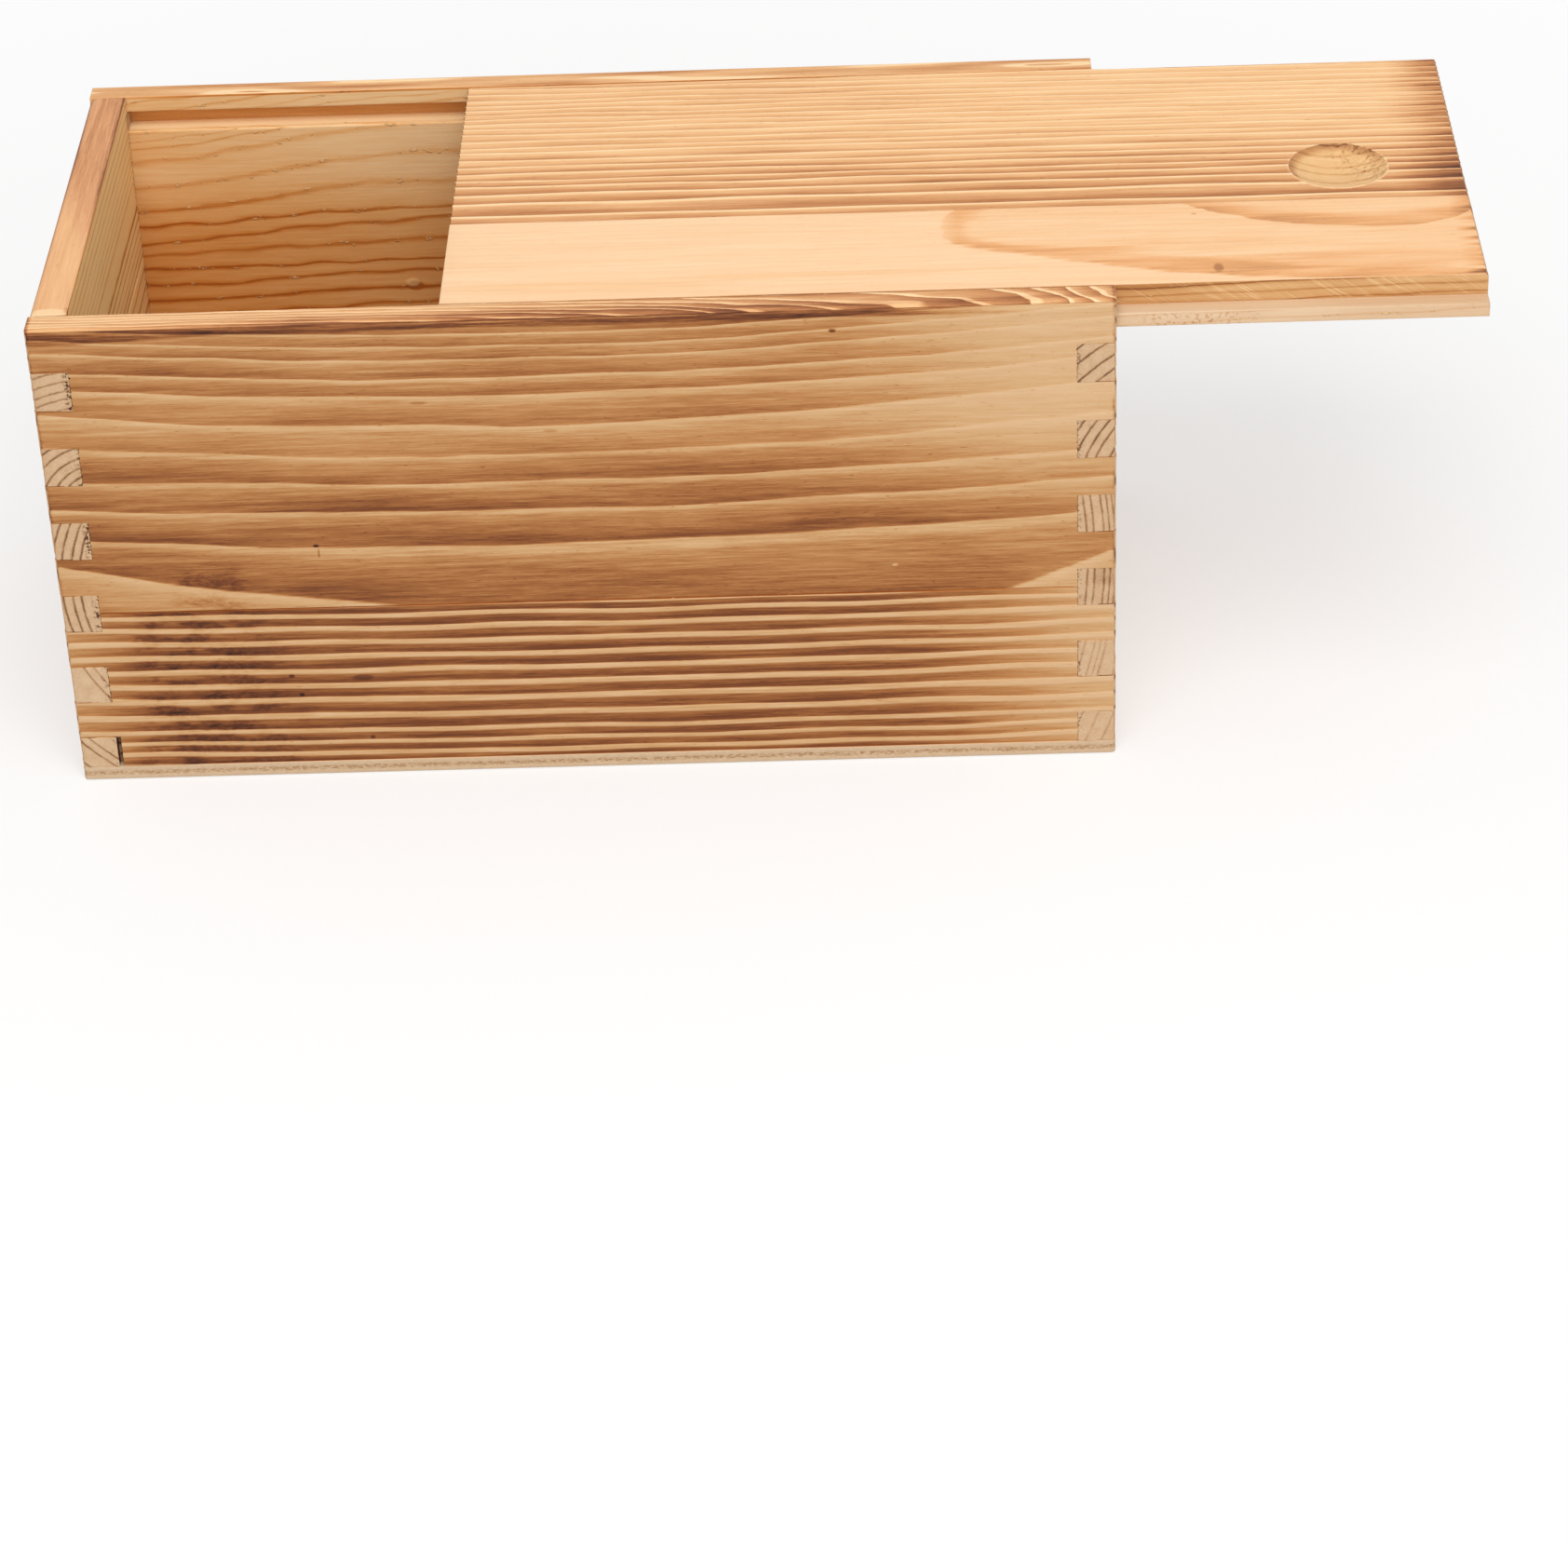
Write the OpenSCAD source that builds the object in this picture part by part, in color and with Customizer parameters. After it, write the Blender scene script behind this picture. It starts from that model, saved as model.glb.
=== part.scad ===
// Sliding lid box: finger-jointed pine walls on a plywood bottom, and a lid
// that runs in two grooves. The sides, the ends and the lid are each glued up
// from two staves, a wide and a narrow one. Millimetres. The origin is the middle of
// the underside, the length runs along X, the closed end is at -X and the
// open end, over which the lid slides out, is at +X.

/* [Box] */
// Length of the box over both ends
box_l = 250; // [160:1:400]
// Width of the box over both sides
box_w = 130; // [110:1:240]
// Height of the box, with its bottom
box_h = 123; // [100:1:240]

/* [Boards] */
// Thickness of the two side boards
side_t = 9; // [8:0.5:14]
// Thickness of the two end boards
end_t = 9; // [5:0.5:16]
// Thickness of the plywood bottom
bottom_t = 3.5; // [2:0.1:9]

/* [Staves] */
// Width of the upper stave of each side board, from the top edge down
side_stave_w = 76; // [40:1:85]
// Width of the lower stave of each end board, from the bottom panel up
end_stave_w = 76; // [40:1:85]
// Width of the lid's back stave, with its tongue
lid_stave_w = 79; // [40:1:90]

/* [Finger joints] */
// Height of one finger, and of the socket between two fingers
finger_h = 10; // [5:0.5:20]
// Wood of a side board between its lid groove and the highest finger
under_groove = 2.2; // [1:0.1:8]
// Glue line round each finger, beside each end board and between two staves
glue_line = 0.1; // [0.02:0.02:0.3]

/* [Lid grooves] */
// Thickness of the lip above each groove
lip_t = 4.2; // [2:0.1:8]
// Width of the lip, from the outer face of its side board
lip_w = 7.5; // [5:0.1:7.8]
// Wood left between the groove and the outer face
groove_wall = 2.8; // [1.5:0.1:4]

/* [Lid] */
// Thickness of the tongue along each long edge of the lid
tongue_t = 3.5; // [2:0.1:8]
// Play above the tongue, under the lip
tongue_play = 0.9; // [0.3:0.1:2]
// Gap between the tongue's edge and the back of its groove
tongue_gap = 0.3; // [0.2:0.05:1]
// Gap between the lid's raised middle and each lip
lip_gap = 0.3; // [0.2:0.05:1]
// Gap under the lid, over the groove's floor and the open end board
seat_gap = 0.2; // [0.1:0.05:0.6]
// Gap between the shut lid and the closed end board
shut_gap = 0.5; // [0.2:0.1:2]
// How far the lid stands open
lid_open = 85.3; // [0:0.1:150]

/* [Finger scoop] */
// Diameter of the round scoop in the top of the lid
scoop_d = 23.5; // [12:0.5:50]
// Depth of the scoop
scoop_depth = 3.8; // [1:0.1:5]
// Distance from the lid's outer end to the middle of the scoop
scoop_inset = 29.3; // [26:0.1:60]

/* [Edges] */
// Radius of the arris along the top of the sides and the closed end
arris_r = 2; // [0.5:0.1:4]
// Radius of the four upright corners
corner_r = 1.2; // [0.5:0.1:4]
// Radius of the arris along the lid's outer end
lid_arris_r = 1; // [0.3:0.1:2]

/* [Hidden] */
$fn = 64;
over = 1;                                             // how far a cut runs past a face
groove_h = tongue_play + tongue_t + seat_gap;         // height of the groove
groove_floor = box_h - lip_t - groove_h;              // level of the groove's floor
lid_t = lip_t + tongue_play + tongue_t;               // the lid's top is flush with the lips
lid_l = box_l - end_t - shut_gap;                     // flush with the open end when shut
lid_w = box_w - 2 * (lip_w + lip_gap);                // raised middle, between the lips
tongue_w = box_w - 2 * (groove_wall + tongue_gap);    // over both tongues
inner_w = box_w - 2 * side_t;                         // between the side boards
mouth_w = box_w - 2 * lip_w;                          // between the lips
lid_x = -box_l / 2 + end_t + shut_gap + lid_open;     // the lid's inner end
fingers_top = groove_floor - under_groove;            // top of the highest finger
side_joint = box_h - side_stave_w;                    // level of a side board's glue line
end_joint = bottom_t + end_stave_w;                   // level of an end board's glue line
lid_joint = tongue_w / 2 - lid_stave_w;               // the lid's glue line, from the middle
finger_count = ceil((fingers_top - bottom_t) / (2 * finger_h));
scoop_r = (pow(scoop_d / 2, 2) + pow(scoop_depth, 2)) / (2 * scoop_depth);

// Top and bottom of finger i, counted from the top; the last one stops at the bottom panel
function finger_z1(i) = fingers_top - 2 * finger_h * i;
function finger_z0(i) = max(bottom_t, finger_z1(i) - finger_h);

// A block from corner a to corner b
module block(a, b) {
    translate(a)
        cube(b - a);
}

// Rectangle centred on the origin with round corners
module round_plan(l, w, r) {
    square([l - 2 * r, w], center = true);
    square([l, w - 2 * r], center = true);
    for (x = [-1, 1], y = [-1, 1])
        translate([x * (l / 2 - r), y * (w / 2 - r)])
            circle(r);
}

// Cross-section of width w from the floor up to height h, with round top corners
module arched(w, h, r) {
    translate([-w / 2, -over])
        square([w, h + over - r]);
    translate([-w / 2 + r, -over])
        square([w - 2 * r, h + over]);
    for (side = [-1, 1])
        translate([side * (w / 2 - r), h - r])
            circle(r);
}

// Outer shape of the closed box with its eased edges: every wall is trimmed to it.
// The lengthwise section runs on past the open end, where the top edge stays square.
module outer_shape() {
    intersection() {
        translate([0, 0, -over])
            linear_extrude(box_h + 2 * over)
                round_plan(box_l, box_w, corner_r);
        translate([-box_l / 2 - over, 0, 0])
            rotate([90, 0, 90])
                linear_extrude(box_l + 2 * over)
                    arched(box_w, box_h, arris_r);
        translate([arris_r + over, box_w / 2 + over, 0])
            rotate([90, 0, 0])
                linear_extrude(box_w + 2 * over)
                    arched(box_l + 2 * (arris_r + over), box_h, arris_r);
    }
}

// Fingers of an end board, grown by gap; the board's outer face is at x = 0
module fingers(gap) {
    for (i = [0 : finger_count - 1])
        block([-gap, -box_w / 2 - over, finger_z0(i) - gap],
              [end_t + gap, box_w / 2 + over, finger_z1(i) + gap]);
}

// The same fingers at both ends of the box
module fingers_both_ends(gap) {
    translate([-box_l / 2, 0, 0])
        fingers(gap);
    translate([box_l / 2 - end_t, 0, 0])
        fingers(gap);
}

// Side board at +Y: sockets at both ends, lid groove and lip along the inner face
module side_board() {
    difference() {
        intersection() {
            block([-box_l / 2, inner_w / 2, bottom_t], [box_l / 2, box_w / 2, box_h]);
            outer_shape();
        }
        fingers_both_ends(glue_line);
        // the groove stops at the closed end board and runs out at the open end
        block([-box_l / 2 + end_t, inner_w / 2 - over, groove_floor],
              [box_l / 2 + over, box_w / 2 - groove_wall, box_h - lip_t]);
        // the inner face stands back above the groove
        block([-box_l / 2 - over, inner_w / 2 - over, box_h - lip_t],
              [box_l / 2 + over, mouth_w / 2, box_h + over]);
    }
}

// Everything above a glue line at level z, and everything below it
module above(z) {
    intersection() {
        children();
        block([-box_l, -box_w, z], [box_l, box_w, box_h + over]);
    }
}

module below(z) {
    intersection() {
        children();
        block([-box_l, -box_w, -over], [box_l, box_w, z - glue_line]);
    }
}

module front_upper_stave() {
    color([0.76, 0.53, 0.32])
        mirror([0, 1, 0])
            above(side_joint)
                side_board();
}

module front_lower_stave() {
    color([0.68, 0.46, 0.28])
        mirror([0, 1, 0])
            below(side_joint)
                side_board();
}

module back_upper_stave() {
    color([0.80, 0.60, 0.38])
        above(side_joint)
            side_board();
}

module back_lower_stave() {
    color([0.75, 0.54, 0.33])
        below(side_joint)
            side_board();
}

// Full-height end board: fingers, and above the highest one a plain edge that
// fills the space between the side boards and, at the top, between the lips
module closed_end() {
    intersection() {
        translate([-box_l / 2, 0, 0])
            union() {
                fingers(0);
                block([0, -inner_w / 2 + glue_line, bottom_t],
                      [end_t, inner_w / 2 - glue_line, box_h]);
                block([0, -mouth_w / 2 + glue_line, box_h - lip_t + glue_line],
                      [end_t, mouth_w / 2 - glue_line, box_h]);
            }
        outer_shape();
    }
}

// Lower end board: its top is level with the groove floors, and the lid slides over it
module open_end() {
    intersection() {
        translate([box_l / 2 - end_t, 0, 0])
            union() {
                fingers(0);
                block([0, -inner_w / 2 + glue_line, bottom_t],
                      [end_t, inner_w / 2 - glue_line, groove_floor]);
            }
        outer_shape();
    }
}

module closed_end_upper_stave() {
    color([0.84, 0.62, 0.43])
        above(end_joint)
            closed_end();
}

module closed_end_lower_stave() {
    color([0.80, 0.58, 0.39])
        below(end_joint)
            closed_end();
}

module open_end_upper_stave() {
    color([0.82, 0.60, 0.40])
        above(end_joint)
            open_end();
}

module open_end_lower_stave() {
    color([0.78, 0.56, 0.37])
        below(end_joint)
            open_end();
}

// Plywood bottom, under all four walls and flush with them
module bottom_panel() {
    color([0.86, 0.72, 0.52])
        linear_extrude(bottom_t)
            round_plan(box_l, box_w, corner_r);
}

// Lengthwise section of the lid: square at the inner end, eased at the outer end
module lid_section() {
    square([lid_l - lid_arris_r, lid_t]);
    square([lid_l, lid_t - lid_arris_r]);
    translate([lid_l - lid_arris_r, lid_t - lid_arris_r])
        circle(lid_arris_r);
}

// Whole lid: a raised middle flush with the lips, a tongue along each long edge,
// and a round finger scoop near the outer end
module lid_panel() {
    translate([lid_x, 0, box_h - lid_t])
        difference() {
            intersection() {
                translate([0, tongue_w / 2, 0])
                    rotate([90, 0, 0])
                        linear_extrude(tongue_w)
                            lid_section();
                union() {
                    block([-over, -lid_w / 2, -over], [lid_l + over, lid_w / 2, lid_t + over]);
                    block([-over, -tongue_w / 2 - over, -over],
                          [lid_l + over, tongue_w / 2 + over, tongue_t]);
                }
            }
            translate([lid_l - scoop_inset, 0, lid_t - scoop_depth + scoop_r])
                sphere(scoop_r);
        }
}

module lid_back_stave() {
    color([0.95, 0.74, 0.51])
        intersection() {
            lid_panel();
            block([lid_x - over, lid_joint, 0], [lid_x + lid_l + over, box_w, box_h + over]);
        }
}

module lid_front_stave() {
    color([0.97, 0.80, 0.60])
        intersection() {
            lid_panel();
            block([lid_x - over, -box_w, 0],
                  [lid_x + lid_l + over, lid_joint - glue_line, box_h + over]);
        }
}

front_upper_stave();
front_lower_stave();
back_upper_stave();
back_lower_stave();
closed_end_upper_stave();
closed_end_lower_stave();
open_end_upper_stave();
open_end_lower_stave();
bottom_panel();
lid_back_stave();
lid_front_stave();
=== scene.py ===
"""Finish of a sliding lid pine box: torched and brushed boards, planed inside, on a plywood bottom.

Lengths are millimetres in the functions below, and metres in the meshes. The box's length runs
along X, its width along Y, and its open end, over which the lid slides out, is at +X.
"""

import math

import bpy
import numpy as np
from bpy.props import FloatProperty, FloatVectorProperty, PointerProperty
from mathutils import Euler, Matrix, Vector


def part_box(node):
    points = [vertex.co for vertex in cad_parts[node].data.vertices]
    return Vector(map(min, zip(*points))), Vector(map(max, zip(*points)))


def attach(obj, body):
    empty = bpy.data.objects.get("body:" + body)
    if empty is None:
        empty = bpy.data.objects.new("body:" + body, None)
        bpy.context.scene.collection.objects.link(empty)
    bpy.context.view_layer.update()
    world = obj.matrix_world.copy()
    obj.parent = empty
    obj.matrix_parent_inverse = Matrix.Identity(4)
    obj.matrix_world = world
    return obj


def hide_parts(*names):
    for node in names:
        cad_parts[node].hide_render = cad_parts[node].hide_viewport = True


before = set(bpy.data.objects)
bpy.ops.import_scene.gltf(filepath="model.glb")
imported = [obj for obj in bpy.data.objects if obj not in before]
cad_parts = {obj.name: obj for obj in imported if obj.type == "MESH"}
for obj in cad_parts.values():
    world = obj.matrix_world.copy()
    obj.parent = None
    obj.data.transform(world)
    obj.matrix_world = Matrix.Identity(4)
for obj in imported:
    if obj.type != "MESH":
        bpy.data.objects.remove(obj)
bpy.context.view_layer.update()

bl_info = {
    "name": "Sliding Lid Pine Box",
    "version": (1, 0, 0),
    "blender": (4, 5, 0),
    "location": "View3D > Sidebar > Pine Box",
    "description": "Boards of a finger-jointed box with a sliding lid, in torched and brushed pine",
    "category": "Object",
}

MM = 0.001
MINUS_X, PLUS_X, MINUS_Y, PLUS_Y, MINUS_Z, PLUS_Z = range(6)  # ways that a face can look


def corners(node):
    """Lowest and highest corner of a construction node, in millimetres."""
    low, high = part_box(node)
    return np.round(np.array(low) / MM, 3), np.round(np.array(high) / MM, 3)


# ---- sizes read from the construction -------------------------------------------------------
(_, _, STAVE_JOINT), (HALF_L, _, TOP) = corners("front_upper_stave")
(_, _, BOTTOM_T), (_, FRONT_IN, LOWER_TOP) = corners("front_lower_stave")
SIDE_IN = -FRONT_IN                                  # inner faces of the two sides
HALF_W = corners("bottom_panel")[1][1]
CLOSED_IN = corners("closed_end_upper_stave")[1][0]  # inner face of the closed end
END_JOINT = corners("closed_end_upper_stave")[0][2]
OPEN_IN = corners("open_end_upper_stave")[0][0]
GROOVE_FLOOR = corners("open_end_upper_stave")[1][2]
END_LOWER_TOP = corners("open_end_lower_stave")[1][2]
LID_LOW, LID_HIGH = corners("lid_back_stave")
LID_JOINT = LID_LOW[1]
LID_FRONT_EDGE = corners("lid_front_stave")[1][1]
TONGUE_EDGE = LID_HIGH[1]

# ---- joinery sizes that the boxes of the nodes don't show -----------------------------------
GLUE = 0.1                # glue line round each finger
FINGER_H = 10.0           # height of a finger and of the socket below it
FINGER_TOP = 112.0        # top of the highest finger
GROOVE_DEEP = 62.2        # how far the grooves reach, from the middle
LIP_UNDER = 118.8         # underside of the lips
LIP_IN = 57.5             # inner edges of the lips
TONGUE_TOP = 117.9        # top of the lid's tongues
RAISED = 57.2             # half width of the lid's raised middle
ARRIS_R = 2.0             # along the top of the sides and the closed end
CORNER_R = 1.2            # the four upright corners
LID_ARRIS_R = 1.0         # the lid's outer end
SCOOP_X = 181.0           # middle of the finger scoop
SCOOP_R = 11.75           # its radius in the lid's top
SCOOP_BALL = 20.07        # radius of the ball that it is cut with

EASE = 0.25               # how far from an edge its easing starts
EDGE_WEAR = 0.08          # how much an eased edge is rubbed back
SEAM = 0.03               # what the glue leaves open of the line round a finger
SLOT_DEEP = 1.1           # slot torn out beside the front's lowest finger at the closed end

# ---- how close the stops of a board's lattice lie -------------------------------------------
SIDE_LENGTH_STEP = 1.7    # along a side
SIDE_WALL_STEP = 0.35     # through a side
UPPER_STEP = 0.4          # up a side's upper stave
LOWER_STEP = 0.3          # up its lower one, whose bands are closer
END_WALL_STEP = 0.5       # through an end
END_HEIGHT_STEP = 0.45    # up an end
ACROSS_STEP = 2.5         # across the box, in the ends and the bottom
PLY_LENGTH_STEP = 4.0     # along the bottom
PLY_STEP = 0.35           # through the bottom
LID_LENGTH_STEP = 4.5     # along the lid
SCOOP_STEP = 0.45         # along the lid at the scoop
LID_STEP = 0.5            # through the lid
RIDGED_STEP = 0.28        # across the lid's ridged back stave
PLAIN_STEP = 0.4          # across its plain front stave
CORNER_PARTS = 3          # parts of each half of an upright corner's arc
NEAREST = 0.04            # stops closer than this are one

WAVES = 9                 # sines in a ripple
SHARP = math.radians(62)  # faces that meet at more than this keep a crisp edge


def smooth(value, low, high):
    """Smooth step from 0 at low to 1 at high."""
    t = np.clip((value - low) / (high - low), 0, 1)
    return t * t * (3 - 2 * t)


def ripple(along, across, seed, length, width):
    """Gentle irregular waves within about -1 to 1: a sum of sines whose wavelengths are drawn
    round a length along the grain and a width across it, with random phases."""
    rng = np.random.default_rng(seed)
    total = 0
    for _ in range(WAVES):
        a, b = rng.uniform(0.5, 1.6, 2)
        sign = rng.choice([-1, 1])
        phase = rng.uniform(0, 2 * math.pi)
        total = total + np.sin(2 * math.pi * (along * a / length + sign * across * b / width) + phase)
    return total * math.sqrt(2 / WAVES) / 1.6


def rings_passed(level, lines):
    """Ring number at a level: how many of the ring lines, listed from the highest down, lie
    above it, with a straight part between each line and the next."""
    total = 0
    for upper, lower in zip(lines[:-1], lines[1:]):
        total = total + np.clip((upper - level) / (upper - lower), 0, 1)
    return total


def stops(planes, step, fine=()):
    """Lattice stops along one axis: every plane, an ease stop beside each, the fine stops, and
    even steps between them."""
    low, high = min(planes), max(planes)
    marks = set(np.round(planes, 4))
    for plane in planes:
        for mark in (plane - EASE, plane + EASE):
            if low < mark < high and min(abs(mark - p) for p in planes) > 0.8 * EASE:
                marks.add(round(float(mark), 4))
    marks |= {round(float(f), 4) for f in fine if low < f < high}
    marks = sorted(marks)
    kept = [marks[0]]
    for mark in marks[1:]:
        if mark - kept[-1] > NEAREST or mark in set(np.round(planes, 4)):
            kept.append(mark)
    line = [kept[0]]
    for a, b in zip(kept[:-1], kept[1:]):
        n = max(1, math.ceil((b - a) / step - 1e-6))
        line += list(np.linspace(a, b, n + 1)[1:])
    return np.array(line)


def arc_stops(edge, radius, sign, count=4):
    """Stops beside an edge that divide each half of its quarter arc evenly once it is rounded:
    the tangents of even angles, times the radius."""
    k = np.arange(count + 1)
    return edge - sign * radius * (1 - np.tan(k * math.pi / 4 / count))


END_ARCS = [stop for end in (-1, 1) for stop in arc_stops(end * HALF_L, CORNER_R, end, CORNER_PARTS)]
SIDE_ARC = list(arc_stops(HALF_W, CORNER_R, 1, CORNER_PARTS))


def both_sides(planes):
    """Stops across the box, mirrored about its middle."""
    half = stops([0, *planes], ACROSS_STEP, fine=SIDE_ARC)
    return np.unique(np.round(np.concatenate([-half, half]), 4))


class Board:
    """Closed surface of one board. The board is a lattice of cells; the faces between full and
    empty cells are its skin. place holds the corners of the skin in millimetres, touch how many
    faces look each way at a corner, and look and middle the way and the middle of each face."""

    def __init__(self, xs, ys, zs, solid):
        """Finds the skin between the stops along X, Y and Z. solid tells which cells are full."""
        middle = [(s[1:] + s[:-1]) / 2 for s in (xs, ys, zs)]
        full = np.pad(solid(*np.meshgrid(*middle, indexing="ij")), 1)
        size = (len(xs), len(ys), len(zs))
        quads, looks = [], []
        for axis in range(3):
            step = [slice(1, -1)] * 3
            lower, upper = list(step), list(step)
            lower[axis], upper[axis] = slice(0, -1), slice(1, None)
            below, above = full[tuple(lower)], full[tuple(upper)]
            for sign, wall in ((1, below & ~above), (-1, above & ~below)):
                at = np.argwhere(wall)
                b, c = (axis + 1) % 3, (axis + 2) % 3
                ring = [(0, 0), (1, 0), (1, 1), (0, 1)]
                if sign < 0:
                    ring.reverse()
                quad = []
                for db, dc in ring:
                    corner = at.copy()
                    corner[:, b] += db
                    corner[:, c] += dc
                    quad.append(np.ravel_multi_index(corner.T, size))
                quads.append(np.stack(quad, 1))
                looks.append(np.full(len(at), 2 * axis + (sign > 0)))
        quads = np.concatenate(quads)
        self.look = np.concatenate(looks)
        used, flat = np.unique(quads, return_inverse=True)
        self.quads = flat.reshape(-1, 4)
        i, j, k = np.unravel_index(used, size)
        self.place = np.stack([xs[i], ys[j], zs[k]], 1)
        self.touch = np.zeros((len(used), 6))
        for corner in range(4):
            np.add.at(self.touch, (self.quads[:, corner], self.look), 1)
        self.middle = self.place[self.quads].mean(1)

    def on(self, side):
        """Which corners of the skin touch a face that looks one way."""
        return self.touch[:, side] > 0

    def round_edge(self, axes, edge, radius, signs):
        """Rounds the square edge at edge (two coordinates, one for each of axes): corners of the
        skin that lie outside the arc are drawn straight towards its centre onto it."""
        a, b = axes
        centre = [edge[n] - signs[n] * radius for n in (0, 1)]
        u = (self.place[:, a] - centre[0]) * signs[0]
        v = (self.place[:, b] - centre[1]) * signs[1]
        far = np.hypot(np.maximum(u, 0), np.maximum(v, 0))
        beyond = (u > 0) & (v > 0) & (far > radius)
        scale = np.where(beyond, radius / np.maximum(far, 1e-9), 1)
        self.place[:, a] = centre[0] + signs[0] * np.where(beyond, u * scale, u)
        self.place[:, b] = centre[1] + signs[1] * np.where(beyond, v * scale, v)

    def round_corners(self, ends=(-1, 1), sides=(-1, 1)):
        """Rounds the box's upright corners at the ends and sides told, -1 or 1 along X and Y."""
        for end in ends:
            for side in sides:
                self.round_edge((0, 1), (end * HALF_L, side * HALF_W), CORNER_R, (end, side))

    def press(self, side, depth):
        """Presses the corners that touch a face that looks one way inwards by depth."""
        axis, sign = side // 2, 1 if side % 2 else -1
        self.place[:, axis] -= sign * np.where(self.on(side), np.maximum(depth, 0), 0)

    def wear_edges(self, tight=False):
        """Rubs every outer edge back a little, but for those in tight joints: a corner of the
        skin that looks along two or three axes and joins up to four faces, as no inner corner
        does, goes inwards along each of them."""
        sides = self.touch.reshape(-1, 3, 2)
        inward = np.sign(sides[:, :, 0]) - np.sign(sides[:, :, 1])
        edge = (np.abs(inward).sum(1) > 1.5) & (sides.sum((1, 2)) < 4.5)
        self.place += EDGE_WEAR * inward * (edge & ~np.asarray(tight))[:, None]

    def make(self, name, sort, finishes, **marks):
        """Puts the skin into a mesh object with its materials, which sort picks for each face,
        and its marks, which the materials read: ring, the ring number, toast, how far its bands
        are toasted, which in the sides' grooves and the lid's scoop also holds painted light and
        shade, line, how strong its ring lines are, soot, char and stain, which in the front's slot
        also holds painted shade."""
        mesh = bpy.data.meshes.new(name)
        mesh.vertices.add(len(self.place))
        mesh.vertices.foreach_set("co", (self.place * MM).astype(np.float32).ravel())
        mesh.loops.add(self.quads.size)
        mesh.loops.foreach_set("vertex_index", self.quads.ravel())
        mesh.polygons.add(len(self.quads))
        mesh.polygons.foreach_set("loop_start", np.arange(0, self.quads.size, 4))
        mesh.polygons.foreach_set("use_smooth", np.ones(len(self.quads), bool))
        mesh.polygons.foreach_set("material_index", np.asarray(sort, np.int32))
        mesh.update(calc_edges=True)
        for title, values in marks.items():
            mark = mesh.attributes.new(title, "FLOAT", "POINT")
            values = np.broadcast_to(values, len(self.place)).astype(np.float32)
            mark.data.foreach_set("value", np.ascontiguousarray(values))
        mesh.set_sharp_from_angle(angle=SHARP)
        for finish in finishes:
            mesh.materials.append(bpy.data.materials[finish])
        mesh.validate()
        piece = bpy.data.objects.new(name, mesh)
        bpy.context.scene.collection.objects.link(piece)
        return piece


# ---- shader expressions ---------------------------------------------------------------------
class Num:
    """A number, or a vector or colour, that varies over a surface: a node's output on which
    Python's operators work."""

    def __init__(self, finish, socket):
        """Wraps an output socket of one of finish's nodes."""
        self.finish = finish
        self.socket = socket

    def __add__(self, other):
        return self.finish.math("ADD", self, other)

    def __sub__(self, other):
        return self.finish.math("SUBTRACT", self, other)

    def __mul__(self, other):
        return self.finish.math("MULTIPLY", self, other)

    def __truediv__(self, other):
        return self.finish.math("DIVIDE", self, other)

    def __pow__(self, other):
        return self.finish.math("POWER", self, other)

    def __rsub__(self, other):
        return self.finish.math("SUBTRACT", other, self)

    __radd__ = __add__
    __rmul__ = __mul__


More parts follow.
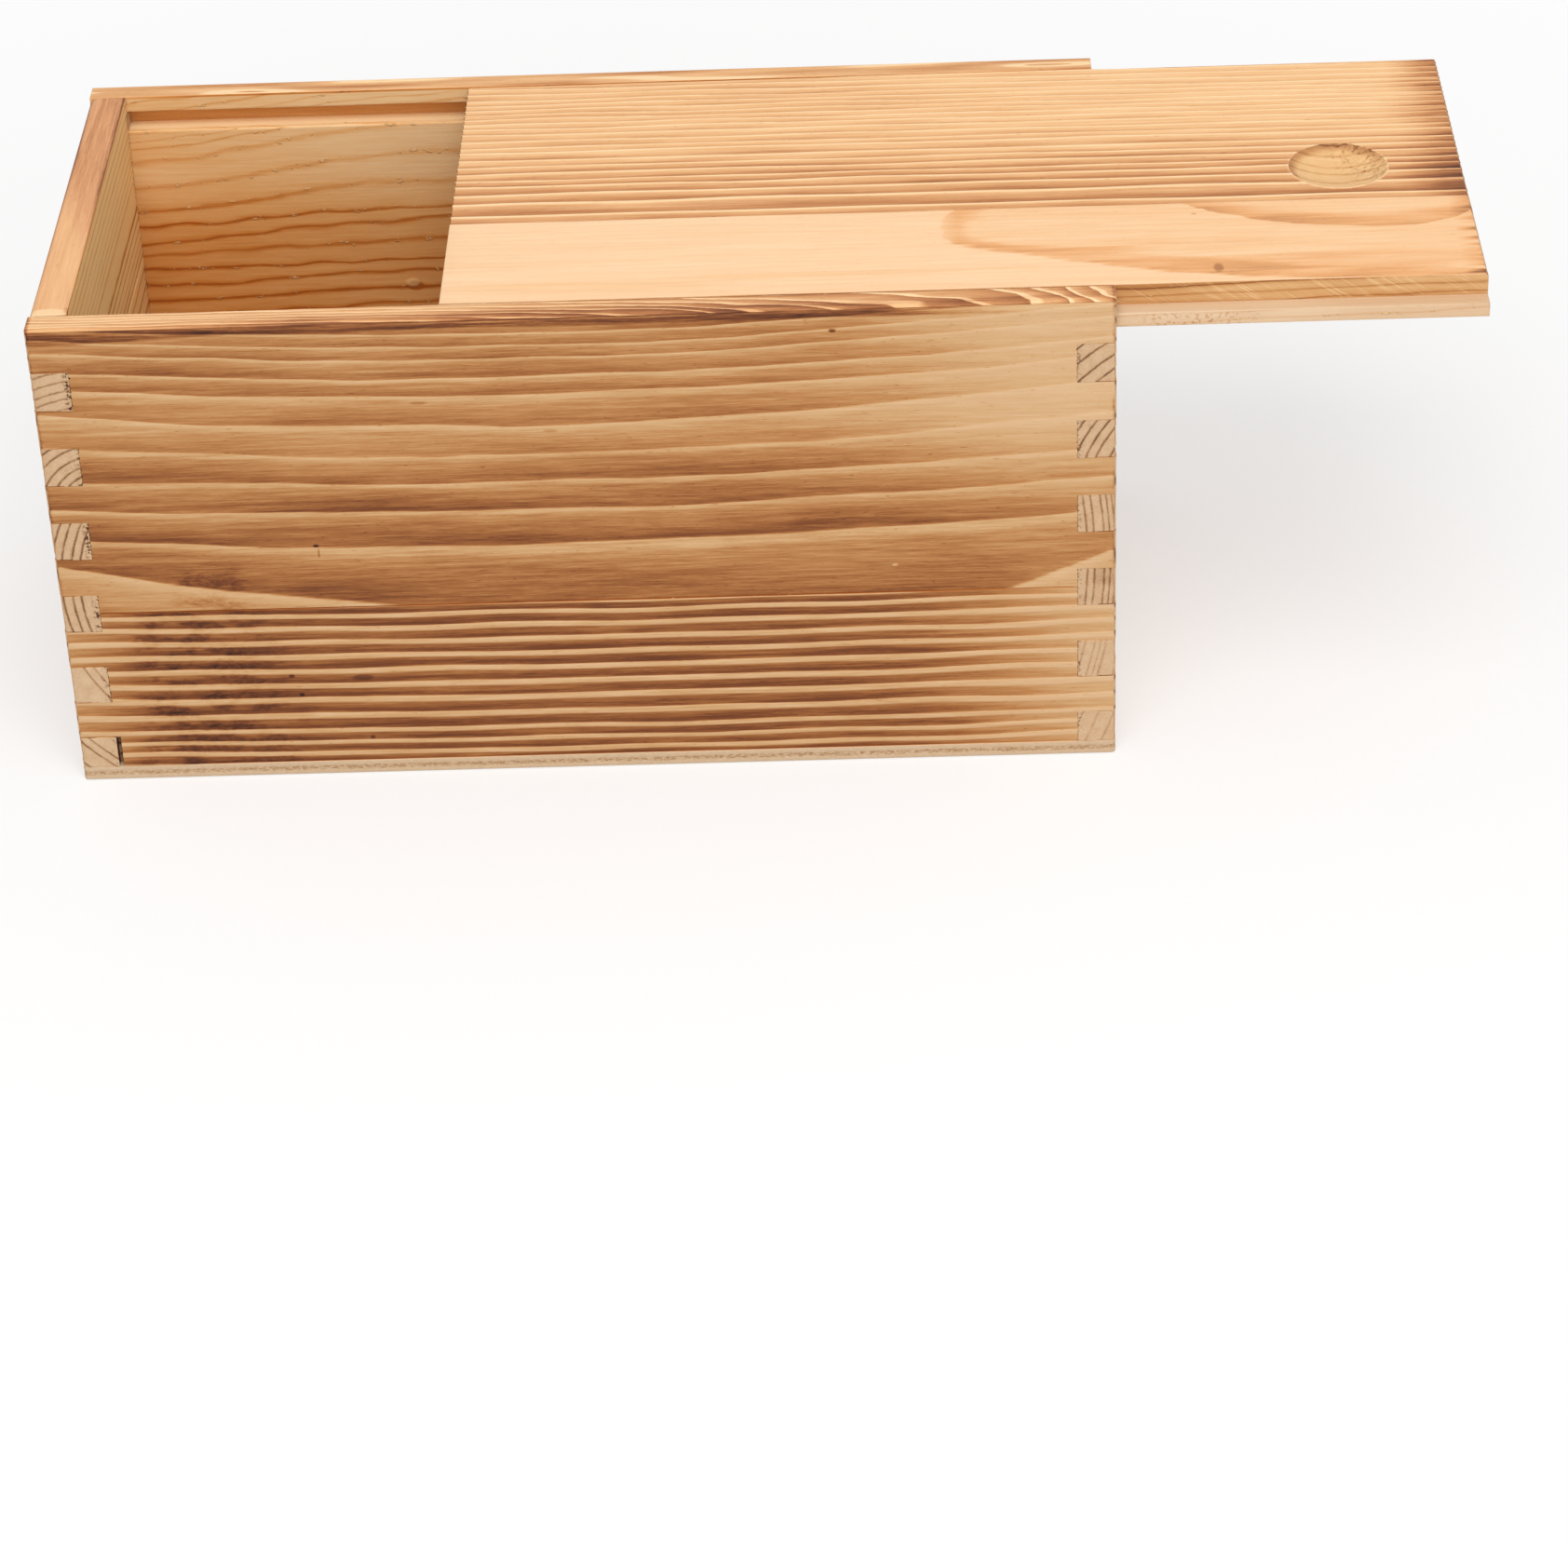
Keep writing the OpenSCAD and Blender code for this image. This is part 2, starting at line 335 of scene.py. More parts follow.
class Finish:
    """A material, or the world, being put together from nodes. The grain of a wood runs along X
    (axis 0) or Y (axis 1)."""

    def __init__(self, name, axis=0, world=False):
        """Starts with no nodes but those that give the place on the object, in millimetres."""
        self.axis = axis
        self.block = (bpy.data.worlds if world else bpy.data.materials).new(name)
        self.block.use_nodes = True
        self.tree = self.block.node_tree
        self.tree.nodes.clear()
        self.spot = self.node("VectorMath", {0: self.node("TexCoord", out=3), 3: 1 / MM},
                              operation="SCALE")
        self.x, self.y, self.z = (self.node("SeparateXYZ", {0: self.spot}, out=n) for n in range(3))

    def node(self, kind, values=None, out=0, scale=None, **settings):
        """Adds a node: its settings first, then a colour scale's stops, then values or links."""
        made = self.tree.nodes.new("ShaderNode" + kind)
        for key, value in settings.items():
            setattr(made, key, value)
        if scale:
            ramp = made.color_ramp
            while len(ramp.elements) < len(scale):
                ramp.elements.new(0.5)
            for element, (at, colour) in zip(ramp.elements, scale):
                element.position = at
                element.color = (*colour, 1) if hasattr(colour, "__len__") else (colour,) * 3 + (1,)
        for key, value in (values or {}).items():
            if isinstance(value, Num):
                self.tree.links.new(value.socket, made.inputs[key])
            else:
                made.inputs[key].default_value = value
        return Num(self, made.outputs[out]) if made.outputs else None

    def math(self, operation, *values):
        """One Math node on values or links."""
        return self.node("Math", dict(enumerate(values)), operation=operation)

    def mark(self, name):
        """A mark that Board.make put on the surface."""
        return self.node("Attribute", out=2, attribute_name=name)

    def ring(self, along, across, blur, detail=2):
        """Ring number, shaken a little by waves of a length along the grain and a width across."""
        return self.mark("ring") + self.wave(along, across, detail) * blur

    def between_rings(self, ring, scale):
        """Value of a scale, its stops as pairs of share and value, between one ring and the next."""
        return self.node("ValToRGB", {0: self.math("FRACT", ring)}, scale=scale)

    def each_ring(self, ring):
        """Random value of 0 to 1 for each ring."""
        return self.node("TexWhiteNoise", {"W": self.math("FLOOR", ring)}, noise_dimensions="1D")

    def step(self, value, low, high):
        """Smooth step from 0 at low to 1 at high."""
        return self.node("MapRange", {0: value, 1: low, 2: high}, interpolation_type="SMOOTHSTEP")

    def grain(self, along, across):
        """Place in units of a length along the grain and a width across it."""
        scale = [1 / across] * 3
        scale[self.axis] = 1 / along
        return self.node("VectorMath", {0: self.spot, 1: scale}, operation="MULTIPLY")

    def noise(self, place, detail=2.0, roughness=0.5):
        """Soft noise about 0.5."""
        return self.node("TexNoise", {"Vector": place, "Scale": 1.0, "Detail": detail,
                                      "Roughness": roughness})

    def wave(self, along, across, detail=2, roughness=0.5):
        """Noise about 0, drawn out to a length along the grain and a width across it."""
        return self.noise(self.grain(along, across), detail, roughness) - 0.5

    def spots(self, along, across, low, high, detail=2, roughness=0.5):
        """Spots about so long and wide: 0 where such noise is under low, 1 where over high."""
        return self.step(self.noise(self.grain(along, across), detail, roughness), low, high)

    def mix(self, share, a, b):
        """Colour a, with b over it by a share."""
        a, b = ((*c, 1) if isinstance(c, tuple) else c for c in (a, b))
        return self.node("Mix", {0: share, 6: a, 7: b}, out=2, data_type="RGBA")

    def blot(self, u, v, middle, size):
        """1 in an ellipse about a middle, fading to 0 from half way to its edge."""
        far = self.math("SQRT", ((u - middle[0]) / size[0]) ** 2 + ((v - middle[1]) / size[1]) ** 2)
        return 1 - self.step(far, 0.5, 1.0)

    def shown(self):
        """1 where the camera, a reflection or glass looks at the surface, 0 for other light."""
        return sum(self.node("LightPath", out=f"Is {ray} Ray")
                   for ray in ("Camera", "Glossy", "Transmission"))

    def wood(self, heat, tints, roughness, height, depth, flecks=None):
        """Ends the material as matt wood: its colour by heat, with pale flecks over it by a share,
        its roughness, and a fine relief, height times a depth in millimetres."""
        colour = self.node("ValToRGB", {0: heat}, scale=tints)
        if flecks:
            colour = self.mix(flecks, colour, FLECK_COLOUR)
        bump = self.node("Bump", {"Strength": 1.0, "Distance": depth * MM, "Height": height})
        surface = self.node("BsdfPrincipled", {"Base Color": colour, "Roughness": roughness,
                                               "Specular IOR Level": 0.25, "Normal": bump})
        self.node("OutputMaterial", {0: surface})


def shade(red, green, blue):
    """Linear colour of a display colour given in steps of 0 to 255."""
    return tuple(((c / 255 + 0.055) / 1.055) ** 2.4 if c > 10 else c / 3294.6
                 for c in (red, green, blue))


def shades(*stops):
    """Stops of a colour scale, each given as its place and a display colour."""
    return [(at, shade(*colour)) for at, *colour in stops]


# ---- what a user would change ---------------------------------------------------------------
def colour_property(name, description, value):
    """A colour that the panel shows, with a display colour as its default."""
    return FloatVectorProperty(name=name, description=description, subtype="COLOR", size=3,
                               min=0, max=1, default=shade(*value))


class BOX_PG_wood(bpy.types.PropertyGroup):
    """Colours of the pine, from bare to charred, and the depth of its brushing."""

    bare: colour_property("Bare", "Pale ridges that the brush has cleaned", (219, 183, 142))
    golden: colour_property("Golden", "Lightly warmed wood", (206, 163, 114))
    tan: colour_property("Tan", "Toasted wood", (186, 131, 78))
    brown: colour_property("Brown", "Well toasted wood", (158, 99, 51))
    dark: colour_property("Dark", "Darkest bands between the ridges", (120, 66, 33))
    char: colour_property("Char", "Scorched edges", (52, 23, 14))
    relief: FloatProperty(name="Relief", description="Depth of the brushed bands",
                          default=0.32 * MM, min=0, max=1 * MM, unit="LENGTH")


class BOX_PG_stage(bpy.types.PropertyGroup):
    """Camera and light."""

    lens: FloatProperty(name="Lens", description="Focal length", default=111.36, min=20,
                        unit="CAMERA")
    key: FloatProperty(name="Key light", description="Power of the soft box above", default=12.4,
                       min=0, unit="POWER")
    fill: FloatProperty(name="Fill light", description="Power of the soft box in front",
                        default=3.0, min=0, unit="POWER")
    sky: FloatProperty(name="Sky", description="Light from all round", default=0.6, min=0)
    floor: colour_property("Floor", "Pale floor under the box", (252, 252, 252))


# ---- finishes -------------------------------------------------------------------------------
TOAST_TOP = 1.5                 # heat at the charred end of the colour scale
SAW_SLANT = math.radians(-32)   # saw marks on the lid's edges
SAW_MARKS = (1 / 12, 2.0, 2.0)  # one over their length and, both ways across, their width
FLECK_COLOUR = shade(246, 206, 146)

# How heat goes up from one ring line (0) to the next (1), as pairs of share and heat. The bands of
# the brushed boards also set the depth of their relief.
BOWED_BANDS = ((0, 0), (0.07, 0.05), (0.2, 0.4), (0.35, 0.56), (0.6, 0.7), (0.88, 0.95), (0.96, 0.9), (1, 0))
CLOSE_BANDS = ((0, 0), (0.28, 0), (0.42, 0.72), (0.8, 1), (0.95, 0.95), (1, 0))
LIP_BANDS = ((0, 0), (0.16, 0.02), (0.24, 0.55), (0.55, 0.7), (0.92, 1), (0.97, 0.95), (1, 0))
FLAME_BANDS = ((0, 1), (0.15, 0.92), (0.45, 0.7), (0.65, 0.42), (0.8, 0.32), (0.97, 0.32), (1, 0.85))
LID_BANDS = ((0, 0), (0.13, 0.04), (0.2, 0.5), (0.4, 0.6), (0.55, 0.7), (0.75, 0.95), (0.94, 1), (1, 0))

# How strong a ring line shows, from its middle (0) to the middle of the next one (1).
PLANED_LINES = ((0, 1), (0.08, 1), (0.15, 0.3), (0.26, 0), (0.75, 0.02), (0.93, 0.25), (1, 1))
SAWN_LINES = ((0, 0.9), (0.12, 0.75), (0.26, 0.1), (0.4, 0), (0.8, 0), (0.94, 0.3), (1, 0.9))

# Colour scales that differ from the panel's colours, from pale to charred.
RIDGED_TINTS = shades((0, 254, 218, 169), (0.2, 240, 188, 134), (0.4, 206, 143, 91), (0.6, 160, 99, 59),
                      (1, 84, 44, 30))
PEACH_TINTS = shades((0, 248, 208, 160), (0.2, 240, 186, 134), (0.4, 218, 156, 108), (0.7, 152, 92, 60),
                     (1, 70, 34, 26))
FLAME_TINTS = shades((0, 252, 214, 172), (0.2, 247, 198, 148), (0.4, 235, 172, 115), (0.7, 165, 108, 66),
                     (1, 86, 48, 30))
PLANED_TINTS = shades((0, 255, 222, 172), (0.3, 240, 186, 122), (0.6, 216, 142, 68), (1, 180, 98, 32))
GOLDEN_TINTS = shades((0, 255, 226, 166), (0.3, 252, 204, 136), (0.6, 220, 154, 84), (1, 96, 50, 26))
EDGE_TINTS = shades((0, 232, 190, 138), (0.3, 208, 156, 100), (0.6, 178, 118, 64), (1, 116, 66, 34))
TONGUE_TINTS = shades((0, 228, 200, 166), (0.3, 216, 180, 142), (0.6, 206, 152, 104), (1, 130, 84, 50))
SCOOPED_TINTS = shades((0, 244, 206, 152), (0.3, 222, 174, 118), (0.6, 186, 130, 80), (1, 110, 64, 38))
SAWN_TINTS = shades((0, 216, 186, 152), (0.25, 201, 165, 127), (0.55, 160, 119, 84), (1, 80, 40, 24))
PLY_TINTS = shades((0, 216, 192, 162), (0.3, 200, 170, 136), (0.6, 168, 128, 88), (1, 122, 82, 50))
BIRCH_TINTS = shades((0, 232, 206, 170), (0.5, 216, 182, 138), (1, 170, 124, 78))

# Small marks in the wood: middle along and across the grain, half sizes, and heat.
FRONT_UPPER_MARKS = (((60, 117.3), (1.1, 0.6), 0.7), ((-63, 64), (0.9, 0.5), 0.7),
                     ((-62.5, 62), (0.4, 1.6), 0.3), ((73, 54.5), (0.9, 0.5), -0.35),
                     ((-36, 101.5), (2.5, 0.5), 0.25), ((-6, 93.2), (2.2, 0.5), 0.2))
FRONT_LOWER_MARKS = (((-72, 28), (0.9, 0.7), 0.5), ((-55, 27), (3.2, 1.1), 0.3),
                     ((-54, 10), (0.8, 0.6), 0.4), ((-70, 22.6), (0.8, 0.6), 0.5))
PEACH_MARKS = (((-56.3, -120.5), (2.6, 6), -0.6),)
LID_MARKS = (((149.1, -50.3), (1.5, 2.7), 0.3), ((145.2, -23), (0.9, 0.6), 0.4),
             ((60, -47.5), (58, 1.4), 0.12), ((0, -51), (46, 3.4), 0.14), ((180, -48), (48, 6), 0.2),
             ((150, -37), (26, 2), 0.1))
BACK_KNOTS = ((-48, 69.5),)


def toast_scale(wood):
    """Stops of the colour scale, from bare wood to char, at a heat of 0 to TOAST_TOP."""
    heats = (0.0, 0.25, 0.5, 0.75, 1.0, TOAST_TOP)
    colours = (wood.bare, wood.golden, wood.tan, wood.brown, wood.dark, wood.char)
    return [(h / TOAST_TOP, tuple(c)) for h, c in zip(heats, colours)]


def profile(ring, bands):
    """Heat between one ring line and the next, 0 to 1."""
    at, heat = zip(*bands)
    return np.interp(ring - np.floor(ring), at, heat)


def torched_pine(name, axis, bands, ridge=0.2, low=0.0, fibre=0.9, haze=0.06, patchy=0.3,
                 blur=0.05, tints=None, across="z", marks=()):
    """Torched pine that was brushed: pale ridges, as hot as a share of the toasted bands between
    them, streaks of fibre, broad haze, short pores, crumbs, soot that stays in the bands, charred
    edges, and marks such as small knots."""
    f = Finish(name, axis)
    ring = f.ring(14, 0.7, blur)
    band = f.between_rings(ring, bands)
    streak = f.wave(20, 0.75, 4, 0.85)
    cloud = f.wave(55, 3.2, 3, 0.6)
    tone = f.each_ring(ring) - 0.5
    toast = f.mark("toast")
    heat = toast * (1 + tone * 0.12 + cloud * patchy)
    heat = heat * (ridge + band * (1 - ridge)) + low + cloud * haze
    heat = heat + streak * fibre * (0.15 + toast * 0.7 + band * 0.25)
    pore = f.spots(2.6, 0.45, 0.70, 0.78, 1)
    crumb = f.spots(1.1, 0.6, 0.76, 0.82, 1)
    heat = heat + pore * 0.2 - crumb * 0.16
    soot = f.mark("soot") * f.spots(9, 4, 0.38, 0.56)
    soot = soot * (0.3 + f.spots(2.4, 1.1, 0.38, 0.6, 4, 0.75) * 0.7)
    heat = heat + soot * (0.35 + band * 0.65)
    heat = heat + f.mark("char") * (0.95 + streak * 2.2 + cloud * 0.8)
    along = f.y if axis else f.x
    for middle, size, strength in marks:
        heat = heat + f.blot(along, getattr(f, across), middle, size) * strength
    f.wood(heat / TOAST_TOP, tints or toast_scale(bpy.context.scene.pine_wood), 0.55 + band * 0.15,
           streak - band * 0.3 + crumb, 0.12)


def planed_pine(name, axis, tints, line, scratch=0.0, knots=()):
    """Planed pine: soft orange-brown ring lines on a golden ground, with fine fibre, pale flecks
    of resin and torn wood on the lines, slanting saw scratches above the tongues, small crumbs
    where the mark soot asks for them, and pin knots, each with a shadow beside it. The mark toast
    makes it browner, and paler where it is below 0, which also paints light and shade in the
    sides' grooves and the lid's scoop, and the mark line sets how strong its lines are."""
    f = Finish(name, axis)
    ring = f.ring(6, 1.1, 0.18, 3)
    band = f.between_rings(ring, PLANED_LINES)
    tone = f.each_ring(ring)
    streak = f.wave(20, 0.8, 4, 0.7)
    cloud = f.wave(45, 9)
    heat = 0.16 + band * line * f.mark("line") * (0.5 + tone * 0.7) + streak * 0.4 + cloud * 0.2
    heat = heat + f.mark("toast")
    fleck = f.spots(2.4, 1.5, 0.61, 0.67, 3, 0.6) * f.step(band, 0.15, 0.5)
    for along, up in knots:
        knot = f.blot(f.x, f.z, (along, up), (2.2, 1.5))
        heat = heat + f.blot(f.x, f.z, (along + 0.7, up - 0.9), (2.6, 1.6)) * 0.5
        fleck = f.math("MAXIMUM", fleck, knot)
    turned = f.node("VectorRotate", {"Vector": f.spot, "Angle": SAW_SLANT}, rotation_type="Y_AXIS")
    turned = f.node("VectorMath", {0: turned, 1: SAW_MARKS}, operation="MULTIPLY")
    saw = f.step(f.noise(turned, 2), 0.5, 0.7) * f.step(f.z, TONGUE_TOP + 0.1, TONGUE_TOP + 0.5) * scratch
    spot = f.spots(1.0, 1.0, 0.55, 0.63, 2, 0.7) * f.mark("soot")
    f.wood(heat - saw * 0.25 + spot, tints, 0.5 + band * 0.1, streak + fleck * 2 - spot * 2 - saw, 0.1,
           flecks=fleck * 0.5)


def end_grain(name):
    """Sawn end grain: thin brown ring lines and open pores on greyish tan, with stains, painted
    shade where the mark stain darkens the front's slot, and crumbs torn out where the mark soot
    asks for them."""
    f = Finish(name)
    line = f.between_rings(f.ring(1.6, 1.6, 0.16), SAWN_LINES)
    fade = f.spots(3, 3, 0.3, 0.6)
    grit = f.wave(0.5, 0.5, 3, 0.7)
    cloud = f.wave(2.5, 2.5)
    crumb = f.spots(0.9, 0.9, 0.54, 0.62, 2, 0.7) * f.mark("soot")
    heat = 0.2 + line * f.mark("line") * (0.4 + fade * 0.3) + grit * 0.5 + cloud * 0.35
    f.wood(heat + crumb * 0.7 + f.mark("stain"), SAWN_TINTS, 0.75, grit - crumb * 3, 0.1)


def ply_edge():
    """Edge of three-ply: pale face plies, and a fuzzy brown core that shows its end grain."""
    f = Finish("plywood edge")
    wave = f.wave(9, 9)
    fuzz = f.wave(1.1, 0.5, 3, 0.7)
    core = 1 - f.step(f.math("ABSOLUTE", f.z - BOTTOM_T / 2 + wave * 0.3 + fuzz * 0.5), 0.2, 0.9)
    grit = f.wave(0.9, 0.4, 3, 0.7)
    heat = 0.2 + core * (0.22 + grit * 1.2) + grit * 0.5
    f.wood(heat, PLY_TINTS, 0.7, grit - core * 0.6, 0.08)


def ply_face():
    """Birch face ply: pale, with long soft figure and fine brown flecks."""
    f = Finish("plywood face")
    figure = f.wave(60, 9, 3)
    streak = f.wave(7, 0.3)
    fleck = f.spots(2.2, 0.3, 0.70, 0.78, 1)
    f.wood(0.3 + figure * 0.6 + streak * 0.25 + fleck * 0.3, BIRCH_TINTS, 0.6, streak, 0.04)


def make_finishes():
    """All materials of the box."""
    torched_pine("bowed torched pine", 0, BOWED_BANDS, 0.3, fibre=1.25, marks=FRONT_UPPER_MARKS)
    torched_pine("close torched pine", 0, CLOSE_BANDS, fibre=1.2, blur=0.03, patchy=0.15,
                 marks=FRONT_LOWER_MARKS)
    torched_pine("bowed back pine", 0, BOWED_BANDS, 0.3, fibre=1.25)
    torched_pine("close back pine", 0, CLOSE_BANDS, fibre=1.2, blur=0.03, patchy=0.15)
    torched_pine("torched end pine", 1, BOWED_BANDS, 0.3, fibre=1.25)
    torched_pine("closed end top", 1, BOWED_BANDS, 0.75, fibre=1.1, haze=0.3, tints=PEACH_TINTS, across="x",
                 marks=PEACH_MARKS)
    torched_pine("lip pine", 0, LIP_BANDS, 0.0, fibre=0.8, blur=0.03, tints=RIDGED_TINTS)
    torched_pine("ridged lid pine", 0, LID_BANDS, 0.05, fibre=0.75, haze=0.2, patchy=0.4, blur=0.04,
                 tints=RIDGED_TINTS)
    torched_pine("plain lid pine", 0, FLAME_BANDS, 0.0, low=0.07, haze=0.4, blur=0.1, tints=FLAME_TINTS,
                 across="y", marks=LID_MARKS)
    planed_pine("planed pine", 0, PLANED_TINTS, 0.6, knots=BACK_KNOTS)
    planed_pine("planed end pine", 1, GOLDEN_TINTS, 0.6)
    planed_pine("lid edge pine", 0, EDGE_TINTS, 0.4, scratch=0.7)
    planed_pine("tongue pine", 0, TONGUE_TINTS, 0.25)
    planed_pine("scooped pine", 0, SCOOPED_TINTS, 0.3)
    end_grain("end grain pine")
    ply_edge()
    ply_face()


# ---- boards ---------------------------------------------------------------------------------
NO_LINE = 33.5            # ring number half way between two lines, for faces that show none


def dress(piece, body, node):
    """Ties a finished piece to its body, and hides the node that it stands for."""
    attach(piece, body)
    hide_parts(node)


def finger_rows():
    """Lower and upper edge of each finger, from the top; the last one stops at the bottom."""
    tops = np.arange(FINGER_TOP, BOTTOM_T, -2 * FINGER_H)
    return [(max(t - FINGER_H, BOTTOM_T), t) for t in tops]


def in_finger(z, grow=0.0):
    """Whether a level lies in one of the fingers, grown by a gap."""
    inside = np.zeros(z.shape, bool)
    for low, high in finger_rows():
        inside |= (z > low - grow) & (z < high + grow)
    return inside


def finger_planes(low, high, grow):
    """Edges of the fingers, grown by a gap, that lie between two levels."""
    edges = [e for a, b in finger_rows() for e in (a - grow, b + grow)]
    return [e for e in edges if low < e < high]


def side_solid(x, y, z):
    """Side board, either side of the box: sockets at both ends, lid groove and lip."""
    a = np.abs(y)
    body = (a > SIDE_IN) & (a < HALF_W) & (np.abs(x) < HALF_L) & (z > BOTTOM_T) & (z < TOP)
    socket = ((x < CLOSED_IN + SEAM) | (x > OPEN_IN - SEAM)) & in_finger(z, SEAM)
    groove = (x > CLOSED_IN) & (a < GROOVE_DEEP) & (z > GROOVE_FLOOR) & (z < LIP_UNDER)
    return body & ~socket & ~groove & ~((a < LIP_IN) & (z > LIP_UNDER))


def side_board(low, high, height_step, front):
    """Lattice of a side board between two levels, at -Y for the front."""
    sign = -1 if front else 1
    y_planes = [SIDE_IN, HALF_W]
    y_fine = SIDE_ARC
    z_planes = [low, high, *finger_planes(low, high, SEAM)]
    z_fine = []
    if high == TOP:
        y_planes += [LIP_IN, GROOVE_DEEP]
        y_fine = [*SIDE_ARC, *arc_stops(HALF_W, ARRIS_R, 1)]
        z_planes += [GROOVE_FLOOR, LIP_UNDER]
        z_fine = arc_stops(TOP, ARRIS_R, 1)
    xs = stops([-HALF_L, CLOSED_IN, CLOSED_IN + SEAM, OPEN_IN - SEAM, HALF_L], SIDE_LENGTH_STEP, END_ARCS)
    ys = np.sort(sign * stops(y_planes, SIDE_WALL_STEP, y_fine))
    board = Board(xs, ys, stops(z_planes, height_step, z_fine), side_solid)
    if high == TOP:
        board.round_edge((1, 2), (sign * HALF_W, TOP), ARRIS_R, (sign, 1))
    board.round_corners(sides=(sign,))
    return board


def relief_depth():
    """Depth of the brushed bands in millimetres."""
    return bpy.context.scene.pine_wood.relief / MM


def on_lip(board):
    """Which corners of a side's upper stave lie on top of its lip."""
    return board.on(PLUS_Z) & (board.place[:, 2] > TOP - ARRIS_R)


def finish_side(board, name, node, bands, outside, depth, ring, toast, brown, line=1, **marks):
    """Gives a side stave its relief and its materials, and makes the piece. Its inner faces are
    planed, and as brown as told. In the lid's groove the floor and roof are painted paler, as
    painted light where the lip shades them, and the groove's back wall is painted darker, as
    painted shade. The wood tore out a little along the sockets' end walls, most at the closed
    end's front, where a slot is left beside the lowest finger; the slot's walls are painted
    darker, as painted shade."""
    x, y, z = board.place.T.copy()
    front = y[0] < 0
    outer, inner_face = (MINUS_Y, PLUS_Y) if front else (PLUS_Y, MINUS_Y)
    inner = (np.abs(y) < GROOVE_DEEP + 0.1) & (z < TOP - 0.5)
    groove = inner & (np.abs(y) > LIP_IN + 0.2)
    toast = np.where(inner, brown, toast)
    # Painted light and shade in the groove under the lip: its floor and roof get toast -0.3, painted paler
    # than the wood as light, and its back wall 0.27, painted darker as shade.
    toast = np.where(groove, np.where(np.abs(y) > GROOVE_DEEP - 0.1, 0.27, -0.3), toast)
    ring = np.where(groove, NO_LINE, ring)
    heat = profile(ring, bands) * (0.4 + 0.6 * np.clip(toast, 0, 1))
    fade = smooth(HALF_L - np.abs(x), 0.1, 2.4) * smooth(TOP - z, 0.2, 3)
    relief = relief_depth() * depth * heat * np.where(board.on(PLUS_Z), 0.6, fade)
    rim = HALF_W - np.abs(y)
    wall = np.clip(1 - (OPEN_IN - np.abs(x)) / 4, 0, 1) * (np.abs(x) < OPEN_IN) * in_finger(z, SEAM + 0.05)
    torn = np.maximum(ripple(z, y, 5, 1.3, 9), 0) * np.where(x < 0, 0.3, 0.15) * (rim < 1.2)
    slot = front & (x < 0) & (z < BOTTOM_T + FINGER_H) & (rim < 2)
    board.place[:, 0] -= np.sign(x) * wall * np.where(slot, SLOT_DEEP, torn)
    board.press(outer, relief)
    board.press(PLUS_Z, relief)
    board.press(inner_face, 0.03 * heat)
    joint = (np.abs(x) > OPEN_IN - 0.3) & in_finger(z, 0.2)
    board.wear_edges(tight=joint)
    look, mid = board.look, board.middle
    sort = np.full(len(look), 1)
    sort[look == outer] = 0
    sort[(look == PLUS_Z) & (mid[:, 2] > LIP_UNDER)] = 2
    sort[look <= PLUS_X] = 3
    # The mark stain darkens the walls of the slot beside the lowest finger: painted shade in the narrow
    # slot.
    piece = board.make(name, sort, [outside, "planed pine", "lip pine", "end grain pine"],
                       ring=ring, toast=toast, line=line, stain=0.5 * slot * joint, **marks)
    dress(piece, "box", node)


# Ring lines of the side staves, from the highest down, as their levels at the middle, and how far
# the bowed ones rise 100 mm to each side of it or the back's rise towards the open end.
FRONT_LINES = (126.5, 122.8, 119.0, 115.8, 112.5, 107.6, 103.0, 94.8, 87.0, 79.8, 72.2, 62.8)
FRONT_BOWS = (3.7, 3.7, 3.7, 3.7, 3.7, 3.5, 3.6, 4.6, 3.9, 2.8, 2.6, 3.0)
FRONT_ABOVE = (150.0, 146.4, 142.8, 139.2, 135.8, 132.6, 129.5)  # above the stave, bowed like its first
CLOSE_LINES = (56.5, 52, 47.3, 44.7, 41.2, 37.3, 33.4, 29.4, 25.3, 21.2, 16.7, 12.3, 9.0, 5.9, 2.4, -1)
BACK_LINES = (130, 127, 124.4, 121.5, 118, 115.6, 113.6, 110.2, 102.4, 95.2, 89.4, 85.4, 80.8, 76.0,
              72.0, 67.6, 63, 58.5, 54, 49.6, 45, 40, 35, 30)
BACK_RISES = (*[6.0] * 8, 5.4, 5, 2.2, 3.7, 1.9, 0.5, 1.8, *[1.5] * 9)

# How toasted each band of the front's upper stave is, from the highest line down.
FRONT_HEATS = np.array([0.7] * 10 + [0.72, 0.78, 0.78, 0.68, 0.64, 0.8, 0.9, 0.88, 0.95, 0.6, 0.6])


def upper_front_rings(x, y, z):
    """Rings of the front's upper stave: bowed lines, lowest near the middle, that come closer
    together towards the top, and a last one that runs out under the glue line."""
    depth = y + HALF_W
    level = z + 1.9 * depth + 0.35 * ripple(x, z, 11, 90, 30) + 0.12 * ripple(x, z, 12, 35, 9)
    bowed = [line + bow * ((x + 10) / 100) ** 2 for line, bow in zip(FRONT_LINES, FRONT_BOWS)]
    first = [line + bowed[0] - FRONT_LINES[0] for line in FRONT_ABOVE]
    last = 43.2 + np.where(x < 23.5, 7.8, 5.0) * ((x - 23.5) / 100) ** 2
    last = last + 8.8 * np.maximum((x - 94) / 31, 0) ** 1.3
    return rings_passed(level, first + bowed + [last, last - 14, last - 40])


